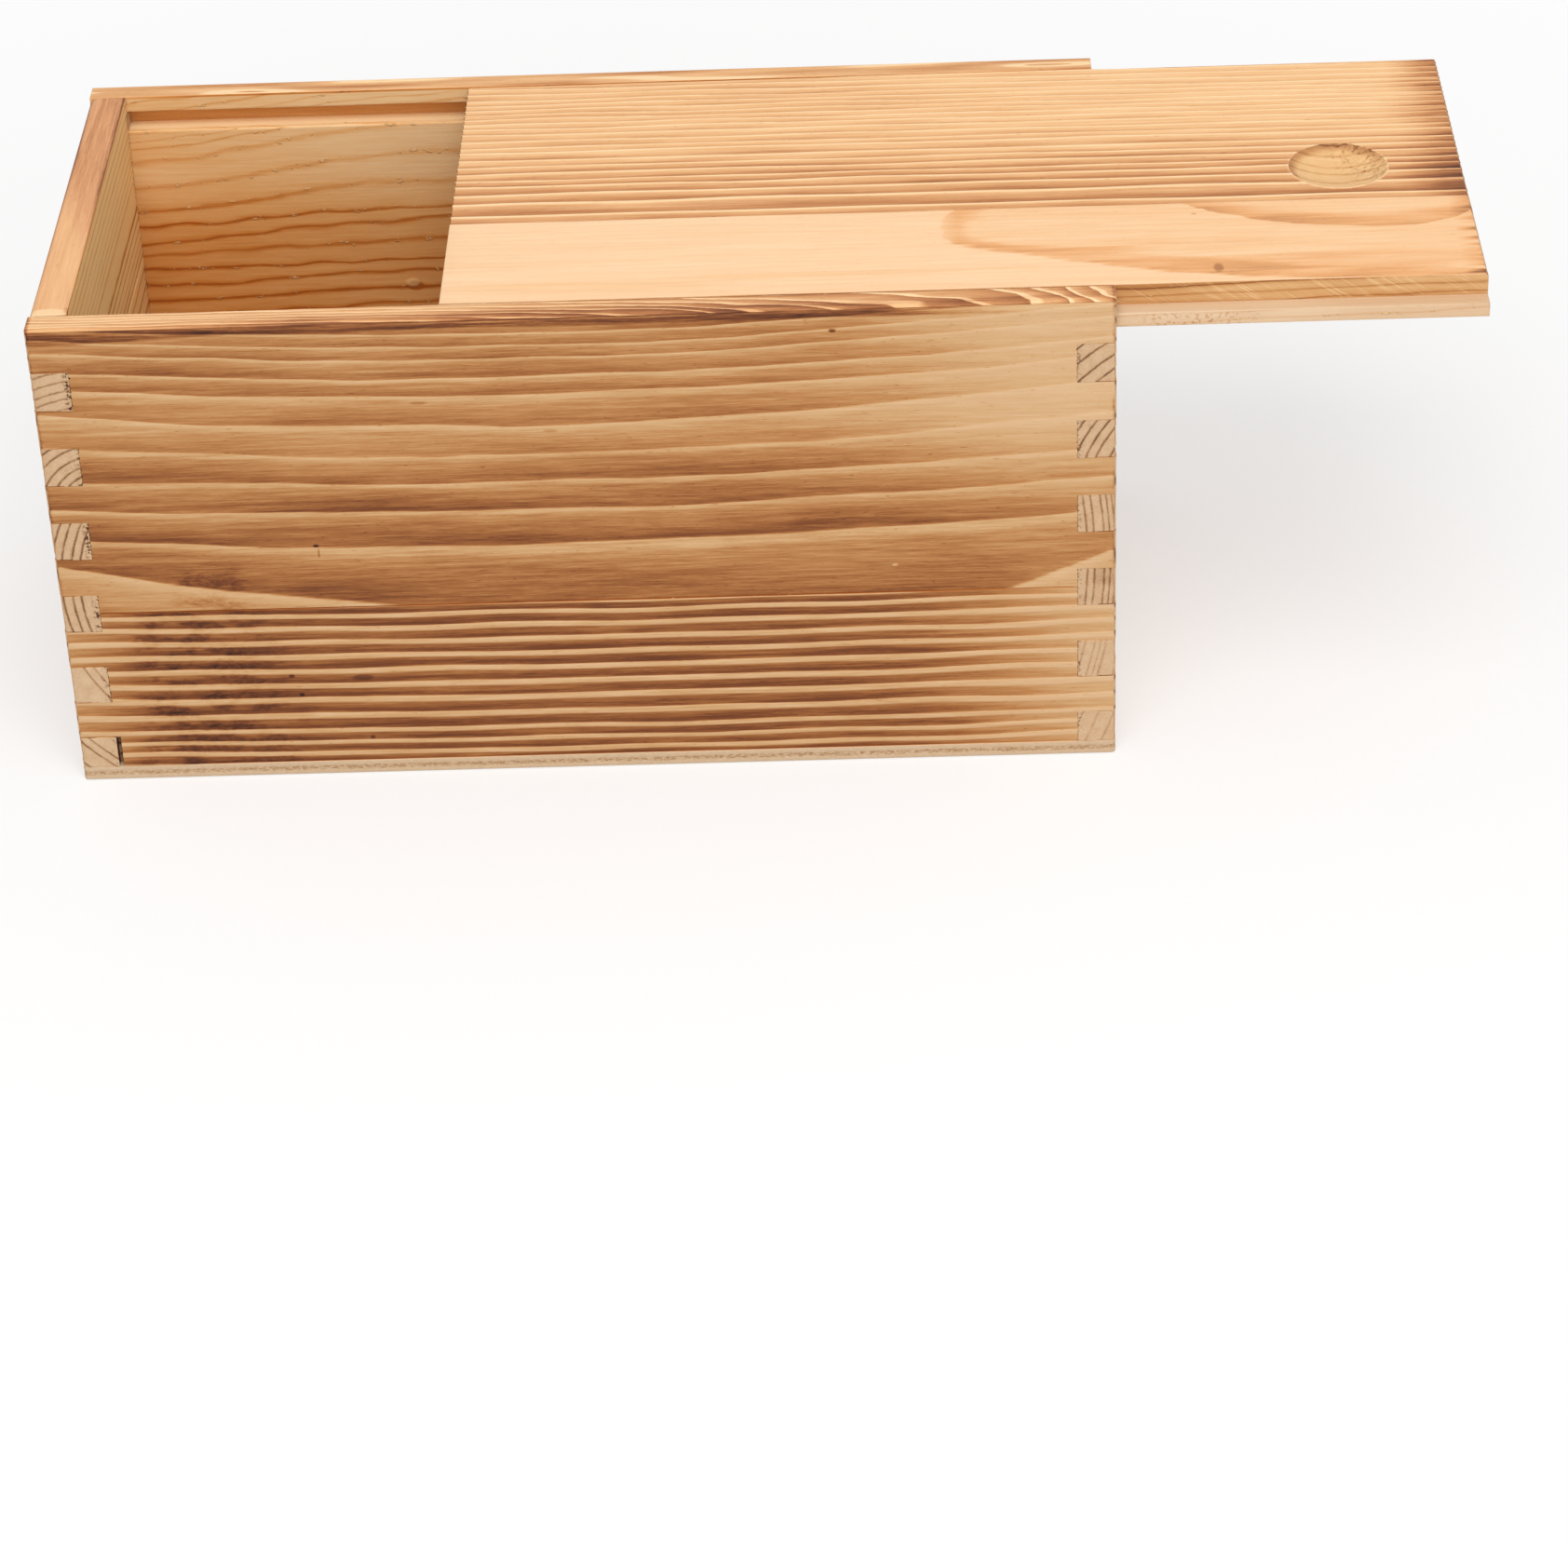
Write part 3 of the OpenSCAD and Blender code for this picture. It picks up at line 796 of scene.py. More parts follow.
def lip_rings(x, y):
    """Rings on top of the front's lip: nearly along it at the closed end, and sweeping ever more
    steeply towards its outer edge at the open end."""
    number = np.interp(x, [-125, -80, -40, 0, 25, 38, 62, 89, 102.5, 112, 116.5, 122.5, 130],
                       [-2.5, -2.35, -1.9, -0.9, 0, 1, 2, 3, 4, 5, 6, 7, 8.2])
    closeness = np.interp(x, [-50, 30, 62, 89, 102, 125], [0.78, 0.52, 0.26, 0.17, 0.13, 0.18])
    return 20 + number - closeness * (-y - LIP_IN - 4) + 0.12 * ripple(x, y, 13, 45, 6)


def lower_front_rings(x, y, z):
    """Rings of the front's lower stave: close and nearly straight, with slow waves."""
    depth = y + HALF_W
    level = z + 0.5 * depth + 0.2 * ripple(x, z, 21, 70, 25) - 0.7 * ((x - 20) / 100) ** 2
    return rings_passed(level, CLOSE_LINES)


def front_side():
    """The front: a bowed upper stave and a straight-grained lower one."""
    board = side_board(STAVE_JOINT, TOP, UPPER_STEP, True)
    x, y, z = board.place.T
    ring = upper_front_rings(x, y, z)
    toast = FRONT_HEATS[np.clip(np.floor(ring).astype(int), 0, len(FRONT_HEATS) - 1)]
    middle = smooth(x, -205, -112) * (1 - 0.72 * smooth(x, 40, 112) * smooth(z, 60, 95)
                                     - 0.4 * smooth(x, 80, 125) * smooth(-z, -90, -50))
    toast = toast * middle * (1 + 0.08 * ripple(x, z, 31, 120, 30))
    lip = on_lip(board)
    ring = np.where(lip, lip_rings(x, y), ring)
    toast = np.where(lip, 0.52 + 0.22 * smooth(x, -60, 20) + 0.05 * ripple(x, y, 35, 40, 6), toast)
    rim = smooth(-y, HALF_W - 2.2, HALF_W - 1.4)
    reach = (0.85 + 0.15 * smooth(x, -90, 0)) * (1 - smooth(x, 70, 115))
    foot = 120.3 - 1.6 * smooth(-x, 75, 122)
    char = 0.56 * smooth(z, foot, foot + 0.8) * rim * reach
    outer = smooth(-y, 59.5, 63.5) * smooth(x, -125, -40) * (1 - 0.8 * smooth(x, 80, 118))
    char = np.where(lip, 0.42 * outer, char) * (1 + 0.2 * ripple(x, z, 33, 50, 2.5))
    soot = 0.4 * smooth(x, -101, -94) * (1 - smooth(x, -84, -79)) * (1 - smooth(z, 56, 61))
    char = char + 0.25 * smooth(np.abs(x), HALF_L - 1.2, HALF_L - 0.2) * (1 + ripple(x, z, 34, 5, 14))
    finish_side(board, "front_upper", "front_upper_stave", BOWED_BANDS, "bowed torched pine", 0.5,
                ring, toast, 0.05, char=char, soot=soot)
    board = side_board(BOTTOM_T, LOWER_TOP, LOWER_STEP, True)
    x, y, z = board.place.T
    toast = 0.98 * (0.5 + 0.5 * smooth(x, -130, -98)) * (1 - 0.72 * smooth(x, 64, 128))
    toast = toast * (1 + 0.05 * ripple(x, z, 41, 90, 18))
    soot = 0.42 * smooth(x, -113, -104) * (1 - smooth(x, -86 + 10 * smooth(-z, -30, -15), -66))
    finish_side(board, "front_lower", "front_lower_stave", CLOSE_BANDS, "close torched pine", 1.0,
                lower_front_rings(x, y, z), toast, 0.08, soot=soot)


def upper_back_rings(x, y, z):
    """Rings of the back's upper stave. Inside the box they rise gently towards the open end."""
    depth = SIDE_IN - y
    level = z + 0.9 * depth + 0.3 * ripple(x, z, 51, 60, 25) + 0.25 * ripple(x, z, 52, 22, 12)
    return rings_passed(level, [line + rise * (0.6 * np.tanh((x + 82) / 22) + 0.4 * x / 80 + 0.4)
                                for line, rise in zip(BACK_LINES, BACK_RISES)])


def lower_back_rings(x, y, z):
    """Rings of the back's lower stave: close and straight."""
    level = z + 0.3 * (SIDE_IN - y) + 0.3 * ripple(x, z, 61, 80, 25) + 0.6 * (x / 100) ** 2
    return rings_passed(level, np.arange(56, -6, -4.1))


def back_side():
    """The back: glued up like the front. Inside the box it is browner further down."""
    board = side_board(STAVE_JOINT, TOP, UPPER_STEP, False)
    x, y, z = board.place.T
    ring = upper_back_rings(x, y, z)
    toast = 0.66 * smooth(x, -160, -60) * (1 - 0.6 * smooth(x, 70, 120))
    toast = toast * (1 + 0.12 * ripple(x, z, 71, 110, 30))
    brown = -0.06 + 0.3 * smooth(-z, -106, -80) + 0.1 * (1 - smooth(x, -96, -50))
    lip = on_lip(board)
    ring = np.where(lip, 30.45 + 0.3 * ripple(x, y, 73, 70, 5), ring)
    toast = np.where(lip, 0.6 + 0.12 * ripple(x, y, 72, 60, 6), toast)
    rim = smooth(y, HALF_W - 1.6, HALF_W - 1.0)
    char = 0.35 * smooth(z, 119.8, 121) * rim * smooth(x, -110, -20) * (1 - smooth(x, 70, 118))
    finish_side(board, "back_upper", "back_upper_stave", BOWED_BANDS, "bowed back pine", 0.5,
                ring, toast, brown, 0.35 + 0.65 * smooth(-z, -101, -86), char=char)
    board = side_board(BOTTOM_T, LOWER_TOP, LOWER_STEP, False)
    x, y, z = board.place.T
    toast = 0.9 * (0.4 + 0.6 * smooth(x, -130, -90)) * (1 - 0.7 * smooth(x, 84, 122))
    finish_side(board, "back_lower", "back_lower_stave", CLOSE_BANDS, "close back pine", 1.0,
                lower_back_rings(x, y, z), toast, 0.16)


def end_solid(closed):
    """Cells of an end board: fingers through both sides, and a plain edge above them."""
    def solid(x, y, z):
        """Whether places lie in the end board."""
        a = np.abs(y)
        inside = (x > -HALF_L) & (x < CLOSED_IN) if closed else (x > OPEN_IN) & (x < HALF_L)
        top = TOP if closed else GROOVE_FLOOR
        web = (a < SIDE_IN - GLUE) & (z > BOTTOM_T) & (z < top)
        ears = (a < LIP_IN - GLUE) & (z > LIP_UNDER + GLUE) & (z < top)
        return inside & ((in_finger(z) & (a < HALF_W)) | web | ears)
    return solid


def end_board(closed, low, high):
    """Lattice of an end board between two levels."""
    sign = -1 if closed else 1
    outer = sign * HALF_L
    x_fine = [*arc_stops(outer, CORNER_R, sign, CORNER_PARTS)]
    y_planes = [SIDE_IN - GLUE, HALF_W]
    z_planes = [low, high, *finger_planes(low, high, 0)]
    z_fine = []
    if high == TOP:
        x_fine += list(arc_stops(outer, ARRIS_R, sign))
        y_planes.append(LIP_IN - GLUE)
        z_planes.append(LIP_UNDER + GLUE)
        z_fine = arc_stops(TOP, ARRIS_R, 1)
    xs = stops((outer, CLOSED_IN if closed else OPEN_IN), END_WALL_STEP, x_fine)
    zs = stops(z_planes, END_HEIGHT_STEP, z_fine)
    board = Board(xs, both_sides(y_planes), zs, end_solid(closed))
    if high == TOP:
        board.round_edge((0, 2), (outer, TOP), ARRIS_R, (sign, 1))
    board.round_corners(ends=(sign,))
    return board


# The end staves' rings as their end grain in the fingers shows them: the pith's place along X and
# Z, the radii seen, the gap between rings beyond them, and the seed of their bend along Y.
CLOSED_UPPER_RINGS = ((-112, 76), (7.5, 9.2, 11.4, 13.8, 16.6, 19, 27, 29.6, 31.6, 34), 2.6, 81)
CLOSED_LOWER_RINGS = ((-78, 53), (41.7, 43.7, 46, 48.2, 60.5, 62.6), 4.2, 82)
OPEN_UPPER_RINGS = ((150, 70), (32, 34.2, 36.6, 39, 43.5, 46.5, 50), 3.0, 85)
OPEN_LOWER_RINGS = ((0, 55), (118.2, 119.9, 122.2, 123.6, 124.8), 3.5, 86)
RING_LINE = 1.9           # width over which the end grain's line passes from ring to ring
RINGS_BEYOND = 59         # rings added beyond the widest radius seen


def circle_rings(x, y, z, pith, radii, gap, seed):
    """Rings about a pith that runs along Y at (x, z), slightly bent: the radii that show in the
    fingers, and beyond them a steady gap. Gives the ring number, and the one for end grain, which
    stays half way between rings but for a thin line at each radius."""
    bend = 0.012 * (y + HALF_W) + 0.3 * ripple(y, x, seed, 140, 60) * smooth(y, -HALF_W, -HALF_W + 20)
    radii = list(np.arange(radii[0] - gap, 0, -gap)[::-1]) + list(radii)
    radii += list(radii[-1] + gap * np.arange(1, RINGS_BEYOND + 1))
    far = np.hypot(x - pith[0], z - pith[1]) + bend
    thin = sum(np.clip((far - r) / RING_LINE + 0.5, 0, 1) for r in radii) - 0.5
    return rings_passed(-far, [-r for r in radii]), thin


def end_stave(end, part, low, high, rings):
    """Makes a stave of the closed or the open end between two levels: its relief, its materials
    and its place in the box. The closed end's top edge is peach in front and scorched towards the
    back, and the face of its lowest front finger, at the back of the side's slot, is painted dark
    as painted shade."""
    closed = end == "closed"
    board = end_board(closed, low, high)
    ring, thin = circle_rings(*board.place.T, *rings)
    x, y, z = board.place.T.copy()
    outer, inner_face = (MINUS_X, PLUS_X) if closed else (PLUS_X, MINUS_X)
    wall = CLOSED_IN if closed else OPEN_IN
    toast = 0.68 * (1 + 0.15 * ripple(y, z, 83, 70, 24)) * (0.7 + 0.3 * smooth(y, -50, 0))
    heat = profile(ring, BOWED_BANDS)
    char = np.zeros(len(x))
    inner = np.abs(x - wall) < 4.5
    toast = np.where(inner & (z < TOP - 0.3), 0.0, toast)
    if closed:
        top = z > TOP - 0.3
        toast = np.where(top, 0.37 + 0.31 * smooth(y + 2 * (x + 120), -22, 14), toast)
        char = 0.45 * smooth(-x, HALF_L - 1.5, HALF_L - 0.5) * smooth(z, 119.5, 121.5) * smooth(y, -15, 15)
        scorch = 0.1 + 0.4 * smooth(y, -40, 30)
        char = char + scorch * smooth(x, CLOSED_IN - 1.2, CLOSED_IN - 0.2) * top
    board.press(outer, relief_depth() * 0.5 * heat)
    board.press(inner_face, 0.03 * heat)
    board.press(PLUS_Z, 0.05 * heat)
    for side in (MINUS_Y, PLUS_Y):
        board.press(side, 0.03 + 0.03 * ripple(x, z, 84 + side, 5, 5))
    board.wear_edges(tight=in_finger(z, 0.1) & (np.abs(y) > HALF_W - 0.3) & inner)
    ring = np.where(board.on(MINUS_Y) | board.on(PLUS_Y), thin, ring)
    look, mid = board.look, board.middle
    sort = np.full(len(look), 1)
    sort[look == outer] = 0
    sort[(look == MINUS_Y) | (look == PLUS_Y)] = 3
    sort[(look == PLUS_Z) & (mid[:, 2] > GROOVE_FLOOR - 1)] = 2
    # The fingers' end grain differs from one to the next: their levels tell them apart.
    near = np.abs(x - wall) + 9 * (np.abs(y) < SIDE_IN - 1)
    if closed:
        stain = -0.06 * (z < 33)
        line = np.where(z > 96, 0.6, np.where((z > 20) & (z < 33), 0.7, 1))
        soot = (1 - smooth(near, 0.3, 1.9)) * np.where((z < 40) | ((z > 80) & (z < 95)), 0.45, 1.1)
        # Painted shade: the lowest front finger's face at the back of the side's slot is painted dark.
        toast = np.where((near < 0.3) & (z < BOTTOM_T + FINGER_H) & (y < 3.5 - HALF_W), 0.9, toast)
    else:
        stain = 0.14 * smooth(x, 118, 121) * smooth(z, 46, 49) * (z < 55) - 0.05 * (z < 33)
        line = np.where(z < 33, 0.4, np.where(z < 75, 0.7, 1))
        soot = (1 - smooth(near, 0.3, 1.2)) * 0.5
    piece = board.make(f"{end}_{part}", sort,
                       ["torched end pine", "planed end pine",
                        "closed end top" if closed else "planed end pine", "end grain pine"],
                       ring=ring, toast=toast, char=char, soot=soot, stain=stain, line=line)
    dress(piece, "box", f"{end}_end_{part}_stave")


def closed_end():
    """The closed end, as high as the sides."""
    end_stave("closed", "upper", END_JOINT, TOP, CLOSED_UPPER_RINGS)
    end_stave("closed", "lower", BOTTOM_T, END_LOWER_TOP, CLOSED_LOWER_RINGS)


def open_end():
    """The open end, up to the groove floors, so that the lid slides out over it."""
    end_stave("open", "upper", END_JOINT, GROOVE_FLOOR, OPEN_UPPER_RINGS)
    end_stave("open", "lower", BOTTOM_T, END_LOWER_TOP, OPEN_LOWER_RINGS)


def bottom_panel():
    """Plywood panel, flush with the walls, whose core ply lies a little back from the edge."""
    xs = stops([-HALF_L, HALF_L], PLY_LENGTH_STEP, END_ARCS)
    zs = stops([0, BOTTOM_T], PLY_STEP)
    board = Board(xs, both_sides([HALF_W]), zs, lambda x, y, z: np.ones(x.shape, bool))
    board.round_corners()
    x, y, z = board.place.T
    core = 0.06 * (1 - smooth(np.abs(z - BOTTOM_T / 2), 0.3, 0.7)) + 0.03 * ripple(x + y, z, 91, 6, 2)
    for side in (MINUS_X, PLUS_X, MINUS_Y, PLUS_Y):
        board.press(side, core)
    board.wear_edges()
    piece = board.make("bottom", board.look >= MINUS_Z, ["plywood edge", "plywood face"])
    dress(piece, "box", "bottom_panel")


# Ring lines of the lid's ridged stave, as places across the box.
LID_LINES = (69, 66, 63, 60, 57.4, 54.6, 51.6, 48.3, 45.8, 43.1, 40.3, 37.8, 35.1, 32.3, 29.1, 25.5,
             22.0, 19.5, 15.0, 11.5, 8.0, 4.1, 1.0, -3.2, -7.9, -14.4, -19, -24)

# Outlines of the two flames on its plain stave: places along the lid, from its closed-end edge,
# and across the box. The first flame's orange fringe is as wide as the third table tells.
FIRST_FLAME = ([225, 203, 190, 177, 166, 156, 144, 135, 122.5, 116.5, 116.3, 118, 120],
               [-58, -56.7, -55.6, -53.6, -51.2, -48.1, -44.1, -40.6, -37.1, -32, -24, -20, -17])
SECOND_FLAME = ([170, 176, 181, 190, 198, 207.6, 216.3, 227.8, 233, 240],
                [-15, -19.6, -22.7, -27, -29.2, -31, -31.9, -31.4, -29.7, -25])
FIRST_FRINGE = ([118, 150, 185], [10, 14, 18])
SECOND_FRINGE = 12


def ridged_lid_rings(x, y, z):
    """Rings of the lid's back stave: fine at the back, wider towards the glue line."""
    along = (x - LID_LOW[0]) / 240
    level = y + 0.25 * ripple(x, y, 101, 80, 20) + along ** 1.5 * (0.9 + 1.5 * smooth(y, 0, 55))
    level = level - 0.35 * (LID_HIGH[2] - z)
    return rings_passed(level, [line + 0.7 for line in LID_LINES])


def inside_outline(along, y, outline, width):
    """How far a place lies inside a flame's outline, as a share of the flame's orange fringe: its
    distance along the lid over the slope's length, which is its distance square to the outline."""
    at, across = outline
    tip = np.interp(y, across, at)
    slope = (np.interp(y + 1, across, at) - np.interp(y - 1, across, at)) / 2
    return (along - tip) / np.sqrt(1 + slope ** 2) / width


def plain_lid_rings(x, y, z):
    """Rings of the lid's front stave: plain wood that two flames run into from the outer end. The
    share of the ring number goes up with the distance from the flame's outline."""
    along = x - LID_LOW[0] + 0.5 * ripple(y, x, 111, 7, 30) + 0.5 * (LID_HIGH[2] - z)
    side = y + 0.4 * ripple(x, y, 112, 40, 9)
    first = inside_outline(along, side, FIRST_FLAME, np.interp(along, *FIRST_FRINGE))
    second = (side - np.interp(along, *SECOND_FLAME)) / SECOND_FRINGE
    ring = 1 + np.clip(first, -0.15, 0.85)
    return np.where(first > 0.6, np.maximum(ring, 2 + np.clip(second, -0.15, 0.85)), ring)


def lid_board(low_y, high_y, step, fine_x=()):
    """Lattice of a lid stave between two edges: raised middle and one tongue."""
    xs = stops([LID_LOW[0], LID_HIGH[0]], LID_LENGTH_STEP,
               [*fine_x, *arc_stops(LID_HIGH[0], LID_ARRIS_R, 1)])
    ys = stops([low_y, high_y] + [e for e in (-RAISED, RAISED) if low_y < e < high_y], step)
    zs = stops([LID_LOW[2], TONGUE_TOP, LID_HIGH[2]], LID_STEP, arc_stops(LID_HIGH[2], LID_ARRIS_R, 1))
    board = Board(xs, ys, zs, lambda x, y, z: (np.abs(y) < RAISED) | (z < TONGUE_TOP))
    board.round_edge((0, 2), (LID_HIGH[0], LID_HIGH[2]), LID_ARRIS_R, (1, 1))
    return board


def cut_scoop(board):
    """Presses the round scoop into the lid's top: part of a ball, whose rim the nearest corners
    of the skin are drawn onto. Returns which corners lie in it."""
    x, y = board.place[:, 0] - SCOOP_X, board.place[:, 1]
    top = board.on(PLUS_Z)
    far = np.hypot(x, y)
    rim = top & (np.abs(far - SCOOP_R) < 0.3)
    scale = np.where(rim, SCOOP_R / np.maximum(far, 1e-9), 1)
    board.place[:, 0] = SCOOP_X + x * scale
    board.place[:, 1] = y * scale
    far = np.where(rim, SCOOP_R, far)
    sunk = np.sqrt(np.maximum(SCOOP_BALL ** 2 - far ** 2, 0)) - math.sqrt(SCOOP_BALL ** 2 - SCOOP_R ** 2)
    inside = top & (far <= SCOOP_R) & (board.place[:, 2] > TONGUE_TOP)
    board.place[:, 2] -= np.where(inside, sunk, 0)
    return inside


def ridged_stave():
    """The lid's back stave: brushed ridges, scorched towards its outer end, and the scoop, with painted
    shade along the back of its rim.
    """
    scoop_x = np.arange(SCOOP_X - SCOOP_R - 0.5, SCOOP_X + SCOOP_R + 0.6, SCOOP_STEP)
    board = lid_board(LID_JOINT, TONGUE_EDGE, RIDGED_STEP, scoop_x)
    inside = cut_scoop(board)
    x, y, z = board.place.T
    ring = ridged_lid_rings(x, y, z)
    heat = profile(ring, LID_BANDS)
    toast = 0.47 + 0.27 * smooth(-y, -26, 4) + 0.05 * ripple(x, y, 121, 60, 12)
    toast = toast * (1 - 0.3 * smooth(x, 40, 150) * smooth(y, 6, 36))
    end = smooth(x, LID_HIGH[0] - 17 + 3 * ripple(y, 0 * x, 131, 20, 9), LID_HIGH[0] + 2)
    scorch = 0.8 + 0.35 * np.exp(-((y + 8) / 14) ** 2) + 0.2 * smooth(y, 40, 57)
    char = end ** 1.1 * scorch * (0.6 + 0.4 * heat) * 0.66
    rim = np.hypot(x - SCOOP_X, y)
    # Painted shade: a darker crescent along the back of the scoop's rim, where its steep wall lies in shade.
    scoop_rim_painted_shade = 0.4 * smooth(rim, 9.2, 11.4) * smooth(y - 0.5 * (x - SCOOP_X), -6, 4)
    torn = smooth(x + 0.4 * y, SCOOP_X, SCOOP_X + 8)
    rough = (0.04 + 0.1 * torn) * (1 + ripple(x, y, 141, 4, 1.5))
    ridges = relief_depth() * 0.8 * heat * (1 - 0.6 * smooth(x, LID_HIGH[0] - 3, LID_HIGH[0]))
    top = (z > TONGUE_TOP + 0.3) | inside
    board.press(PLUS_Z, np.where(inside, rough, ridges))
    board.press(PLUS_X, 0.12 * (1 - heat))
    board.press(MINUS_X, 0.45 * heat * top)
    board.wear_edges()
    look, mid = board.look, board.middle
    up = look == PLUS_Z
    sort = np.full(len(look), 1)
    sort[up] = 0
    sort[up & (mid[:, 2] < TONGUE_TOP + 0.1)] = 4
    sort[(look == PLUS_Y) & (mid[:, 2] < TONGUE_TOP)] = 4
    sort[look <= PLUS_X] = 2
    sort[up & (np.hypot(mid[:, 0] - SCOOP_X, mid[:, 1]) < SCOOP_R)] = 3
    piece = board.make("lid_back", sort, ["ridged lid pine", "lid edge pine", "end grain pine",
                                          "scooped pine", "tongue pine"],
                       ring=ring, toast=np.where(inside, scoop_rim_painted_shade, toast * top), char=char * ~inside,
                       line=1, soot=0.3 * inside * torn)
    dress(piece, "lid", "lid_back_stave")


def plain_stave():
    """The lid's front stave: plain wood with two flames on top, and below it and at its ends the
    arcs of its rings. Its edge over the tongue is brown where the saw burnt it."""
    board = lid_board(-TONGUE_EDGE, LID_FRONT_EDGE, PLAIN_STEP)
    x, y, z = board.place.T
    ring = plain_lid_rings(x, y, z)
    top = z > TONGUE_TOP + 0.2
    toast = np.where(ring < 1, 0.14, 0.56 + 0.1 * ripple(x, y, 152, 40, 9))
    end = smooth(x, LID_HIGH[0] - 5, LID_HIGH[0])
    board.press(PLUS_Z, 0.05 * (1 + ripple(x, y, 151, 50, 3)) * top)
    board.wear_edges()
    look, mid = board.look, board.middle
    low = mid[:, 2] < TONGUE_TOP + 0.1
    sort = np.full(len(look), 1)
    sort[(look == PLUS_Z) & ~low] = 0
    sort[(look != MINUS_Z) & (mid[:, 1] < -RAISED) & low] = 3
    sort[look <= PLUS_X] = 2
    tongue = y < -RAISED - 1
    edge = (y < -RAISED + 0.2) & (z > TONGUE_TOP - 0.2)
    under = board.on(MINUS_Z) & ~tongue
    end_face = board.on(MINUS_X) | board.on(PLUS_X)
    torn = smooth(x, 128, 134) * (1 - smooth(x, 152, 160)) * tongue * (z < TONGUE_TOP - 0.3)
    level = z - 0.02 * (x - 125) + 0.2 * ripple(x, z, 161, 40, 9)
    ring = np.where(edge | tongue, 40 - level / 2.3, ring)
    ring = np.where((y < -RAISED - 0.1) & board.on(PLUS_Z), NO_LINE, ring)
    ring = np.where(under | (end_face & ~top), np.hypot(y + 38, z - 80) / 3.1, ring)
    wedge = 0.26 * smooth(level, 120.5, 122) * (1 - smooth(x, 150, 190)) + 0.1 * smooth(-x, -160, -130)
    toast = np.where(edge, wedge * (z < LID_HIGH[2] - 0.1), toast)
    toast = np.where(tongue, 0.1 * smooth(x, 165, 185), toast)
    toast = np.where(under & ~end_face, 0.05, toast)
    piece = board.make("lid_front", sort, ["plain lid pine", "lid edge pine", "end grain pine",
                                           "tongue pine"],
                       ring=ring, toast=toast, char=0.3 * end ** 2 * (1 + ripple(y, x, 153, 4, 20)),
                       line=1, soot=0.35 * torn)
    dress(piece, "lid", "lid_front_stave")


def lid():
    """The lid's two staves."""
    ridged_stave()
    plain_stave()


# ---- stage ----------------------------------------------------------------------------------
WHITE = (1.0, 1.0, 1.0, 1.0)
FLOOR_HALF = 6.0                        # metres, like all places in this part
FLOOR_DROP = 0.0002                     # how far the floor lies under the box
AIM = Vector((0.03, 0, 0.06))           # what the lamps point at
LAMPS = (("key", (0.05, -0.85, 1.4), 1.1), ("fill", (0.95, -1.1, 1.0), 1.2))  # name, place, size
CAMERA_PLACE = Vector((0.0727, -1.0448, 0.6449))
CAMERA_TURN = (56.364, 2.024, 0.295)    # degrees about X, Y and Z, from looking straight down
SENSOR = 36                             # millimetres


def floor():
    """Pale floor, which the camera sees nearly white near the box and pure white further out."""
    mesh = bpy.data.meshes.new("floor")
    mesh.from_pydata([(x * FLOOR_HALF, y * FLOOR_HALF, -FLOOR_DROP)
                      for x, y in ((-1, -1), (1, -1), (1, 1), (-1, 1))], [], [(0, 1, 2, 3)])
    f = Finish("pale floor")
    cloud = f.noise(f.grain(400, 400))
    colour = f.mix(cloud * 0.02, tuple(bpy.context.scene.pine_stage.floor), shade(244, 244, 244))
    matt = f.node("BsdfPrincipled", {"Base Color": colour, "Roughness": 0.9, "Specular IOR Level": 0.1})
    far = f.node("VectorMath", {0: f.spot}, out=1, operation="LENGTH")
    white = f.shown() * (0.5 + f.step(far, 170, 600) * 0.5)
    glow = f.node("Emission", {"Color": WHITE, "Strength": 1.0})
    f.node("OutputMaterial", {0: f.node("MixShader", {0: white, 1: matt, 2: glow})})
    mesh.materials.append(f.block)
    ground = bpy.data.objects.new("floor", mesh)
    bpy.context.scene.collection.objects.link(ground)


def sky():
    """White world, which gives less light than it shows."""
    f = Finish("studio", world=True)
    bpy.context.scene.world = f.block
    lit = f.node("Background", {"Color": WHITE, "Strength": bpy.context.scene.pine_stage.sky})
    seen = f.node("Background", {"Color": WHITE, "Strength": 1.0})
    f.node("OutputWorld", {0: f.node("MixShader", {0: f.shown(), 1: lit, 2: seen})})


def lamps():
    """Two soft boxes, above and in front."""
    for name, place, size in LAMPS:
        data = bpy.data.lights.new(name, "AREA")
        data.shape = "DISK"
        data.size = size
        data.energy = getattr(bpy.context.scene.pine_stage, name)
        lamp = bpy.data.objects.new(name, data)
        lamp.location = place
        lamp.rotation_euler = (AIM - Vector(place)).to_track_quat("-Z", "Y").to_euler()
        bpy.context.scene.collection.objects.link(lamp)


def camera():
    """Camera at the photograph's angle."""
    scene = bpy.context.scene
    made = bpy.data.objects.new("camera", bpy.data.cameras.new("camera"))
    made.data.lens = scene.pine_stage.lens
    made.data.sensor_width = SENSOR
    turn = Euler([math.radians(angle) for angle in CAMERA_TURN])
    made.matrix_world = Matrix.LocRotScale(CAMERA_PLACE, turn, None)
    scene.collection.objects.link(made)
    scene.camera = made


def stage():
    """Floor, soft light, and the camera."""
    bpy.context.scene.view_settings.view_transform = "Standard"
    floor()
    sky()
    lamps()
    camera()


# ---- operators and panel --------------------------------------------------------------------
class BOX_OT_finishes(bpy.types.Operator):
    """Make the materials of the box"""

    bl_idname = "pine_box.finishes"
    bl_label = "Finishes"

    def execute(self, context):
        make_finishes()
        return {"FINISHED"}


class BOX_OT_front_side(bpy.types.Operator):
    """Make the front's two staves"""

    bl_idname = "pine_box.front_side"
    bl_label = "Front Side"

    def execute(self, context):
        front_side()
        return {"FINISHED"}


